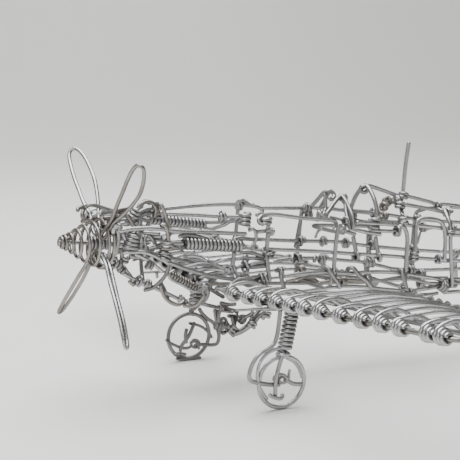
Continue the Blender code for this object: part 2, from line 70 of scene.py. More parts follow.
# Bends
STRAIGHT = math.radians(176)  # a corner flatter than this isn't bent
BEND_REACH = 0.48  # the most of a straight run that one bend takes
BEND_STEP = 0.3  # radians between the points of a bend
CLOSE_PITCH = 2.04  # rise of a turn that lies beside the one before, in radii of its wire
CUT_EASE = 0.35  # length of the rounding of a cut end, in radii of its wire
CUT_FACTOR = 0.72  # radius of a cut end, in radii of its wire
STEEP = 0.8  # rise of a direction that is too upright for a wrap's phase to start at the top
ROUNDNESS = 3  # bevel steps of a wire's quarter
SMOOTH_ANGLE = math.radians(50)  # a wire's cut edges stay sharp past this

# The colour sockets of Blender's Mix node, which shares their names with others
MIX_FROM, MIX_TO, MIX_RESULT = 6, 7, 2

Point = tuple[float, float, float]
Outline = tuple[tuple[float, float], ...]


class Side(Enum):
    """Which side of the aeroplane a piece is on."""

    PORT = -1
    STARBOARD = 1

    @property
    def label(self) -> str:
        """Name of the side as the frame's nodes spell it."""
        return self.name.lower()


class Bend(Enum):
    """How a wire goes through its points."""

    FLOWING = "one smooth curve through every point"
    CORNERED = "straight runs with a small radius at every point"
    EXACT = "the points as they are"


class Finish(Enum):
    """Copies of one wire material, some lightened as painted light and some darkened as painted
    shade, with the name of its material.
    """

    SATIN = "satin_wire"
    # a lighter copy: painted light on the pieces that catch the most light
    BRIGHT = "painted_lit_wire"
    # a warmer and darker copy
    WARM = "warm_wire"
    # a darker copy: painted shade on the far wheel and leg, under the belly and round the chin
    DARK = "painted_shade_wire"


SATIN, BRIGHT, WARM, DARK = Finish


# --------------------------------------------------------------------------------------------------
# Paths
# --------------------------------------------------------------------------------------------------
def flowing(points: Sequence[Point], closed: bool = False, step: float = 1.3) -> list[Vector]:
    """Smooth curve through the points.

    Args:
        points: points in millimetres.
        closed: whether the last point joins the first.
        step: rough length of one piece of the result.

    Returns:
        The curve's points.
    """
    knots = [Vector(point) for point in points]
    count = len(knots)
    if count < 3:
        return _divided(knots, step * 3)
    result: list[Vector] = []
    spans = count if closed else count - 1
    for index in range(spans):
        if closed:
            before, start, end, after = (knots[(index + k) % count] for k in (-1, 0, 1, 2))
        else:
            start, end = knots[index], knots[index + 1]
            before = knots[index - 1] if index else start * 2 - end
            after = knots[index + 2] if index + 2 < count else end * 2 - start
        stops = (before, start, end, after)
        gaps = [max((b - a).length ** 0.5, 1e-4) for a, b in zip(stops, stops[1:])]
        slope_in = _slope(before, start, end, gaps[0], gaps[1]) * gaps[1]
        slope_out = _slope(start, end, after, gaps[1], gaps[2]) * gaps[1]
        pieces = max(2, math.ceil((end - start).length / step))
        for piece in range(pieces):
            t = piece / pieces
            result.append(_hermite(start, end, slope_in, slope_out, t))
    if not closed:
        result.append(knots[-1])
    return result


def _slope(a: Vector, b: Vector, c: Vector, first: float, second: float) -> Vector:
    """Slope at b of the centripetal curve through a, b and c."""
    return (b - a) / first - (c - a) / (first + second) + (c - b) / second


def _hermite(start: Vector, end: Vector, out: Vector, into: Vector, t: float) -> Vector:
    """Point of the curve between two points.

    Args:
        start: the first point.
        end: the second point.
        out: slope at the first point.
        into: slope at the second point.
        t: share of the way from start to end.

    Returns:
        The point.
    """
    t2, t3 = t * t, t * t * t
    return (start * (2 * t3 - 3 * t2 + 1) + out * (t3 - 2 * t2 + t) + end * (3 * t2 - 2 * t3)
            + into * (t3 - t2))


def _divided(knots: Sequence[Vector], step: float) -> list[Vector]:
    """The straight runs cut into shorter ones.

    Args:
        knots: points that the runs join.
        step: the longest that a piece may be.

    Returns:
        The points, with the new ones between.
    """
    result = [knots[0].copy()]
    for start, end in zip(knots, knots[1:]):
        pieces = max(1, math.ceil((end - start).length / step))
        result += [start.lerp(end, piece / pieces) for piece in range(1, pieces + 1)]
    return result


def cornered(points: Sequence[Point], closed: bool, radius: float) -> list[Vector]:
    """Straight runs with each corner bent round a former of this radius.

    Args:
        points: corner points in millimetres.
        closed: whether the last point joins the first.
        radius: bend radius in millimetres.

    Returns:
        The path's points.
    """
    knots = [Vector(point) for point in points]
    count = len(knots)
    result: list[Vector] = [] if closed else [knots[0]]
    for index in range(0 if closed else 1, count if closed else count - 1):
        corner = knots[index]
        back = knots[index - 1] - corner
        ahead = knots[(index + 1) % count] - corner
        angle = back.angle(ahead)
        if angle > STRAIGHT:
            result.append(corner)
            continue
        reach = min(radius / math.tan(angle / 2), BEND_REACH * back.length,
                    BEND_REACH * ahead.length)
        enter, leave = corner + back.normalized() * reach, corner + ahead.normalized() * reach
        steps = max(3, math.ceil((math.pi - angle) / BEND_STEP))
        for step in range(steps + 1):
            t = step / steps
            result.append(enter * (1 - t) ** 2 + corner * (2 * t * (1 - t)) + leave * t ** 2)
    if not closed:
        result.append(knots[-1])
    return result


def coil(start: Point, end: Point, radius: float, turns: float, up: Point = (0, 0, 1),
         phase: float = 0.0, steps: int = 14) -> list[Vector]:
    """Points of a coil.

    Args:
        start: where its axis starts.
        end: where its axis ends.
        radius: from the axis to the middle of the wire.
        turns: how many turns; negative ones run the other way round.
        up: direction in which a phase of zero points.
        phase: angle of the first point in degrees.
        steps: points a turn.

    Returns:
        The coil's points.
    """
    first, last = Vector(start), Vector(end)
    axis = (last - first).normalized()
    rise = Vector(up)
    rise = (rise - axis * rise.dot(axis)).normalized()
    across = axis.cross(rise)
    count = max(4, round(abs(turns) * steps))
    points = []
    for index in range(count + 1):
        share = index / count
        angle = math.radians(phase) + 2 * math.pi * turns * share
        swing = rise * math.cos(angle) + across * math.sin(angle)
        points.append(first.lerp(last, share) + swing * radius)
    return points


def circle(middle: Point, radius: float, count: int, across: int) -> list[Point]:
    """Points of an upright circle.

    Args:
        middle: its middle.
        radius: its radius.
        count: how many points it has.
        across: the level direction that it spans, 0 for x and 1 for y.

    Returns:
        The circle's points, from the top.
    """
    points = []
    for index in range(count):
        angle = 2 * math.pi * index / count
        place = list(middle)
        place[across] += radius * math.sin(angle)
        place[2] += radius * math.cos(angle)
        points.append(tuple(place))
    return points


def axle_z(x: float, radius: float) -> float:
    """Level height of an axle whose wheel stands on the ground once leaned back."""
    return (radius + x * math.sin(LEAN)) / math.cos(LEAN)


@dataclass(frozen=True)
class Run:
    """One bent wire: its points in level millimetres, its make and the nodes it stands for."""

    name: str
    points: tuple[Point, ...]
    finish: Finish = SATIN
    radius: float = WIRE
    bend: Bend = Bend.FLOWING
    nodes: tuple[str, ...] = ()


@dataclass(frozen=True)
class Tie:
    """A short wrap of wire that binds a joint.

    It goes round a wire that runs along a direction, so many turns at a radius from its axis, from
    a phase in degrees. Its tail is the length of the straight end that it leaves with, and its
    pitch is the rise of a turn; zero lays the turns side by side.
    """

    name: str
    at: Point
    along: Point
    turns: float
    radius: float
    gauge: float = KNOT_WIRE
    phase: float = 0.0
    tail: float = 0.0
    pitch: float = 0.0
    finish: Finish = SATIN


# --------------------------------------------------------------------------------------------------
# Place and finish
# --------------------------------------------------------------------------------------------------
@dataclass(frozen=True)
class Stance:
    """Turns level design millimetres into the frame's metres."""

    shift: Vector

    @classmethod
    def from_frame(cls) -> "Stance":
        """Put the port wheel's middle where the frame has it.

        Returns:
            The stance that does so.
        """
        low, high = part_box("wheel_port")
        wheel_x, radius = -2.4, 12.5
        leaned = wheel_x * math.cos(LEAN) + axle_z(wheel_x, radius) * math.sin(LEAN)
        return cls(Vector(((low[0] + high[0]) / 2 - leaned * MM, 0.0, low[2])))

    def place(self, point: Sequence[float]) -> Vector:
        """Place a level point on the leaning frame.

        Args:
            point: the level point in millimetres.

        Returns:
            Its world place in metres.
        """
        x, y, z = point
        leaned = Vector((x * math.cos(LEAN) + z * math.sin(LEAN), y,
                         z * math.cos(LEAN) - x * math.sin(LEAN)))
        return leaned * MM + self.shift


@dataclass(frozen=True)
class WireFinish:
    """Drawn aluminium wire with soft handling marks.

    Its tone wanders between bright and dull, and edge_tint keeps its rim from glaring.
    """

    kind: Finish
    bright: tuple[float, float, float]
    dull: tuple[float, float, float]
    roughness: float
    marks: float = 0.35
    edge_tint: float = 0.2
    relief: float = 0.25
    relief_depth: float = 0.00008

    def build(self, wear: bpy.types.NodeTree) -> bpy.types.Material:
        """Make the material around the shared wear group.

        Args:
            wear: node group from wear_group().

        Returns:
            The material.
        """
        material = bpy.data.materials.new(self.kind.value)
        material.use_nodes = True
        nodes, links = material.node_tree.nodes, material.node_tree.links
        shader = nodes["Principled BSDF"]
        shader.inputs["Metallic"].default_value = 1.0
        shader.inputs["Specular Tint"].default_value = (*[self.edge_tint] * 3, 1.0)
        group = nodes.new("ShaderNodeGroup")
        group.node_tree = wear
        group.location = (-700, 100)
        place = nodes.new("ShaderNodeTexCoord")
        place.location = (-900, 100)
        links.new(place.outputs["Object"], group.inputs["Place"])
        links.new(place.outputs["UV"], group.inputs["Length"])
        group.inputs["Bright"].default_value = (*self.bright, 1.0)
        group.inputs["Dull"].default_value = (*self.dull, 1.0)
        group.inputs["Smooth"].default_value = self.roughness
        group.inputs["Marks"].default_value = self.marks
        links.new(group.outputs["Color"], shader.inputs["Base Color"])
        links.new(group.outputs["Roughness"], shader.inputs["Roughness"])
        bump = nodes.new("ShaderNodeBump")
        bump.location = (-300, -200)
        bump.inputs["Strength"].default_value = self.relief
        bump.inputs["Distance"].default_value = self.relief_depth
        links.new(group.outputs["Height"], bump.inputs["Height"])
        links.new(bump.outputs["Normal"], shader.inputs["Normal"])
        return material


def noise(group: bpy.types.NodeTree, scale: float, detail: float) -> bpy.types.Node:
    """Add a noise texture to a node group.

    Args:
        group: the node group.
        scale: scale of the noise.
        detail: detail of the noise.

    Returns:
        The texture node.
    """
    texture = group.nodes.new("ShaderNodeTexNoise")
    texture.inputs["Scale"].default_value = scale
    texture.inputs["Detail"].default_value = detail
    return texture


def sum_node(group: bpy.types.NodeTree, operation: str) -> bpy.types.Node:
    """Add a Math node to a node group.

    Args:
        group: the node group.
        operation: what the node does.

    Returns:
        The Math node.
    """
    sums = group.nodes.new("ShaderNodeMath")
    sums.operation = operation
    return sums


def wear_group() -> bpy.types.NodeTree:
    """Node group of wire wear: slow tone changes, fine scuffs and draw lines.

    Returns:
        The group, with its named sockets.
    """
    group = bpy.data.node_groups.new("wire_wear", "ShaderNodeTree")
    inputs = {"Place": "Vector", "Length": "Vector", "Bright": "Color", "Dull": "Color",
              "Smooth": "Float", "Marks": "Float"}
    outputs = {"Color": "Color", "Roughness": "Float", "Height": "Float"}
    for sockets, way in ((inputs, "INPUT"), (outputs, "OUTPUT")):
        for name, kind in sockets.items():
            group.interface.new_socket(name=name, in_out=way, socket_type=f"NodeSocket{kind}")
    nodes, links = group.nodes, group.links
    entry, leave = nodes.new("NodeGroupInput"), nodes.new("NodeGroupOutput")
    slow, scuff, lines = noise(group, 60.0, 3.0), noise(group, 900.0, 2.0), noise(group, 3.0, 2.0)
    stretch = nodes.new("ShaderNodeMapping")
    stretch.inputs["Scale"].default_value = (2.0, 40.0, 1.0)
    links.new(entry.outputs["Place"], slow.inputs["Vector"])
    links.new(entry.outputs["Place"], scuff.inputs["Vector"])
    links.new(entry.outputs["Length"], stretch.inputs["Vector"])
    links.new(stretch.outputs["Vector"], lines.inputs["Vector"])
    tone = nodes.new("ShaderNodeMapRange")
    tone.inputs["From Min"].default_value = 0.35
    tone.inputs["From Max"].default_value = 0.65
    links.new(slow.outputs["Fac"], tone.inputs["Value"])
    mix = nodes.new("ShaderNodeMix")
    mix.data_type = "RGBA"
    links.new(tone.outputs["Result"], mix.inputs["Factor"])
    links.new(entry.outputs["Dull"], mix.inputs[MIX_FROM])
    links.new(entry.outputs["Bright"], mix.inputs[MIX_TO])
    links.new(mix.outputs[MIX_RESULT], leave.inputs["Color"])
    both = sum_node(group, "ADD")
    links.new(scuff.outputs["Fac"], both.inputs[0])
    links.new(lines.outputs["Fac"], both.inputs[1])
    marked = sum_node(group, "MULTIPLY")
    links.new(both.outputs["Value"], marked.inputs[0])
    links.new(entry.outputs["Marks"], marked.inputs[1])
    rough = sum_node(group, "MULTIPLY_ADD")
    rough.inputs[1].default_value = 0.45
    links.new(marked.outputs["Value"], rough.inputs[0])
    links.new(entry.outputs["Smooth"], rough.inputs[2])
    links.new(rough.outputs["Value"], leave.inputs["Roughness"])
    links.new(marked.outputs["Value"], leave.inputs["Height"])
    return group


@dataclass
class WireBench:
    """Where wires are bent: paths in millimetres become round wires on the frame."""

    stance: Stance
    finishes_and_shading: dict[Finish, bpy.types.Material]
    made: int = 0

    def tube(self, name: str, path: Sequence[Sequence[float]], *, bend: Bend = Bend.EXACT,
             closed: bool = False, radius: float = WIRE, corner: float = 2.0,
             finish: Finish = SATIN, nodes: Iterable[str] = ()) -> None:
        """Bend one wire.

        Args:
            name: the piece's name.
            path: its points in level millimetres.
            bend: how it goes through them.
            closed: whether it is a loop.
            radius: of the wire, in millimetres.
            corner: bend radius of a cornered wire.
            finish: which copy of the wire it gets, painted light and painted shade among them.
            nodes: frame nodes that it stands for.
        """
        if bend is Bend.FLOWING:
            points = flowing(path, closed)
        elif bend is Bend.CORNERED:
            points = cornered(path, closed, corner)
        else:
            points = [Vector(point) for point in path]
        factors = [1.0] * len(points)
        if not closed:
            points, factors = self._blunted(points, radius)
        bpy.ops.object.select_all(action="DESELECT")
        bpy.ops.curve.primitive_bezier_curve_add(location=(0.0, 0.0, 0.0))
        piece = bpy.context.object
        piece.name = piece.data.name = name
        curve = piece.data
        curve.splines.clear()
        curve.dimensions = "3D"
        curve.twist_mode = "MINIMUM"
        curve.bevel_depth = radius * MM
        curve.bevel_resolution = ROUNDNESS
        curve.use_fill_caps = True
        spline = curve.splines.new("POLY")
        spline.points.add(len(points) - 1)
        for spot, place, factor in zip(spline.points, points, factors):
            spot.co = (*self.stance.place(place), 1.0)
            spot.radius = factor
        spline.use_cyclic_u = closed
        bpy.ops.object.convert(target="MESH")
        bpy.ops.object.shade_smooth_by_angle(angle=SMOOTH_ANGLE)
        piece = bpy.context.object
        piece.data.materials.clear()
        piece.data.materials.append(self.finishes_and_shading[finish])
        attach(piece, "root")
        if nodes:
            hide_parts(*nodes)
        self.made += 1

    def _blunted(self, points: list[Vector], radius: float) -> tuple[list[Vector], list[float]]:
        """Round both cut ends off a little.

        Args:
            points: the path.
            radius: of the wire.

        Returns:
            The path with two more points, and a radius factor a point.
        """
        ease = CUT_EASE * radius
        first = points[0] + (points[1] - points[0]).normalized() * ease
        last = points[-1] + (points[-2] - points[-1]).normalized() * ease
        path = [points[0], first] + points[1:-1] + [last, points[-1]]
        return path, [CUT_FACTOR] + [1.0] * (len(path) - 2) + [CUT_FACTOR]

    def lay(self, runs: Sequence[Run]) -> None:
        """Bend every wire of a table.

        Args:
            runs: the table.
        """
        for run in runs:
            self.tube(run.name, run.points, bend=run.bend, radius=run.radius, finish=run.finish,
                      nodes=run.nodes)

    def bind(self, ties: Sequence[Tie]) -> None:
        """Wind every wrap of a table.

        Args:
            ties: the table.
        """
        for tie in ties:
            axis = Vector(tie.along).normalized()
            half = axis * (abs(tie.turns) * (tie.pitch or tie.gauge * CLOSE_PITCH) / 2)
            up = (0.0, 0.0, 1.0) if abs(axis.z) < STEEP else (1.0, 0.0, 0.0)
            path = coil(Vector(tie.at) - half, Vector(tie.at) + half, tie.radius, tie.turns, up=up,
                        phase=tie.phase, steps=12)
            if tie.tail:
                path.append(path[-1] + (path[-1] - path[-2]).normalized() * tie.tail)
            self.tube(tie.name, path, radius=tie.gauge, finish=tie.finish)

    def knot(self, name: str, at: Point, along: Point, turns: float, radius: float,
             finish: Finish = SATIN, phase: float = 0.0) -> None:
        """Wind one stout wrap.

        Args:
            name: the piece's name.
            at: middle of the wrap.
            along: direction of the wire that it goes round.
            turns: how many turns.
            radius: from the axis to the middle of the wrapping wire.
            finish: which copy of the wire it gets, painted light and painted shade among them.
            phase: angle of its first point, in degrees.
        """
        self.bind([Tie(name, at, along, turns, radius, STOUT_KNOT_WIRE, phase, finish=finish)])


# --------------------------------------------------------------------------------------------------
# Sub-assemblies
# --------------------------------------------------------------------------------------------------
@dataclass(frozen=True)
class Blade:
    """One looped blade: its angle from straight up, its pitch and how wide it is."""

    number: int
    turn: float
    pitch: float
    finish: Finish
    width: float = 1.0
    slim: bool = False


@dataclass
class Propeller:
    """Four looped blades, the spiral spinner and the shaft.

    An outline is a blade's reach from the shaft and its offset to the side, point by point. The
    third blade stands edge on in the photograph, so its own points are given. The spiral is the
    place along the shaft and the radius at each turn.
    """

    bench: WireBench
    x: float = -74.4
    blade_wire: float = 0.9
    spinner_wire: float = 0.78
    broad_outline: Outline = (
        (5.0, 0.4), (15.0, 0.3), (23.4, 1.8), (31.5, 2.6), (39.6, 3.3), (47.6, 3.4), (52.7, 2.9),
        (54.8, 1.5), (54.8, -0.5), (52.4, -2.4), (46.7, -4.3), (39.9, -5.4), (33.1, -5.9),
        (26.4, -5.5), (20.1, -4.7), (14.7, -3.6), (5.0, -1.6))
    slim_outline: Outline = (
        (5.0, 0.2), (17.7, -0.4), (25.4, 0.4), (35.0, 1.1), (44.3, 1.8), (50.5, 1.8), (54.1, 0.8),
        (54.5, -1.5), (51.2, -3.5), (45.7, -5.1), (40.4, -5.8), (33.9, -5.4), (25.9, -4.1),
        (16.6, -2.0), (5.0, -1.2))
    blades: tuple[Blade, ...] = (
        Blade(1, 44.5, 46.0, BRIGHT), Blade(2, 134.5, 56.0, WARM, width=0.8),
        Blade(4, 314.5, 46.0, WARM, slim=True))
    edge_on_blade: tuple[Point, ...] = (
        (-75.3, -7, 61.3), (-75.3, -12.8, 58.2), (-75.3, -18.2, 52), (-75.3, -25.8, 44.5),
        (-75.3, -32.8, 37.1), (-75.3, -38.7, 29.6), (-74.9, -39.8, 27), (-74.4, -40.1, 26.2),
        (-73.9, -39.9, 26.9), (-73.5, -38.1, 29), (-73.5, -32.6, 36.6), (-73.5, -25.4, 44),
        (-73.5, -18.7, 51.6), (-73.5, -12.8, 57.8), (-73.5, -4.9, 61.5))
    spiral: Outline = (
        (-93.0, 1.0), (-91.8, 2.3), (-90.2, 2.9), (-87.6, 4.1), (-84.5, 6.2), (-81.5, 8.0),
        (-77.2, 9.7), (-73.3, 11.1), (-72.6, 11.1))
    spiral_start: float = 0.1
    spiral_cut: float = 1.72
    spiral_steps: int = 26

    def build(self) -> None:
        """Bend every wire of the propeller."""
        self.build_blades()
        self.build_spinner()
        self.build_shaft()

    def build_blades(self) -> None:
        """Bend the four blades, each a loop that crosses the hub."""
        self.bench.tube("blade_wire_3", self.edge_on_blade, bend=Bend.FLOWING, closed=True,
                        radius=self.blade_wire, finish=BRIGHT, nodes=["propeller_blade_3"])
        hub = Vector((self.x, 0.0, SHAFT_Z))
        for blade in self.blades:
            angle, twist = math.radians(blade.turn), math.radians(blade.pitch)
            out = Vector((0.0, math.sin(angle), math.cos(angle)))
            around = Vector((0.0, math.cos(angle), -math.sin(angle)))
            across = around * math.cos(twist) - Vector((1.0, 0.0, 0.0)) * math.sin(twist)
            outline = self.slim_outline if blade.slim else self.broad_outline
            loop = [hub + out * reach + across * (side * blade.width) for reach, side in outline]
            self.bench.tube(f"blade_wire_{blade.number}", loop, bend=Bend.FLOWING, closed=True,
                            radius=self.blade_wire, finish=blade.finish,
                            nodes=[f"propeller_blade_{blade.number}"])

    def build_spinner(self) -> None:
        """Bend the conical spiral, one turn between each pair of its stations."""
        last = len(self.spiral) - 2
        path = []
        for index in range(round(self.spiral_steps * (len(self.spiral) - self.spiral_cut)) + 1):
            place = index / self.spiral_steps + self.spiral_start
            low = min(int(place), last)
            pair = zip(self.spiral[low], self.spiral[low + 1])
            x, radius = (a + (b - a) * (place - low) for a, b in pair)
            angle = -2 * math.pi * place - math.pi / 2
            path.append((x, radius * math.sin(angle), SHAFT_Z + radius * math.cos(angle)))
        self.bench.tube("spinner_wire", path, radius=self.spinner_wire, finish=WARM,
                        nodes=["spinner_spiral"])

    def build_shaft(self) -> None:
        """Bend the shaft, with its collar of wire at the hub."""
        shaft = [(-93.0, 0.0, SHAFT_Z), (-60.0, 0.0, SHAFT_Z), (-53.0, 0.0, 66.6),
                 (-50.8, 0.0, 70.0), (-50.6, 0.0, 82.6)]
        self.bench.tube("shaft_wire", shaft, bend=Bend.CORNERED, corner=3.0,
                        nodes=["propeller_shaft"])
        self.bench.knot("hub_collar", (self.x, 0.0, SHAFT_Z), (1, 0, 0), 4.5, 2.3)


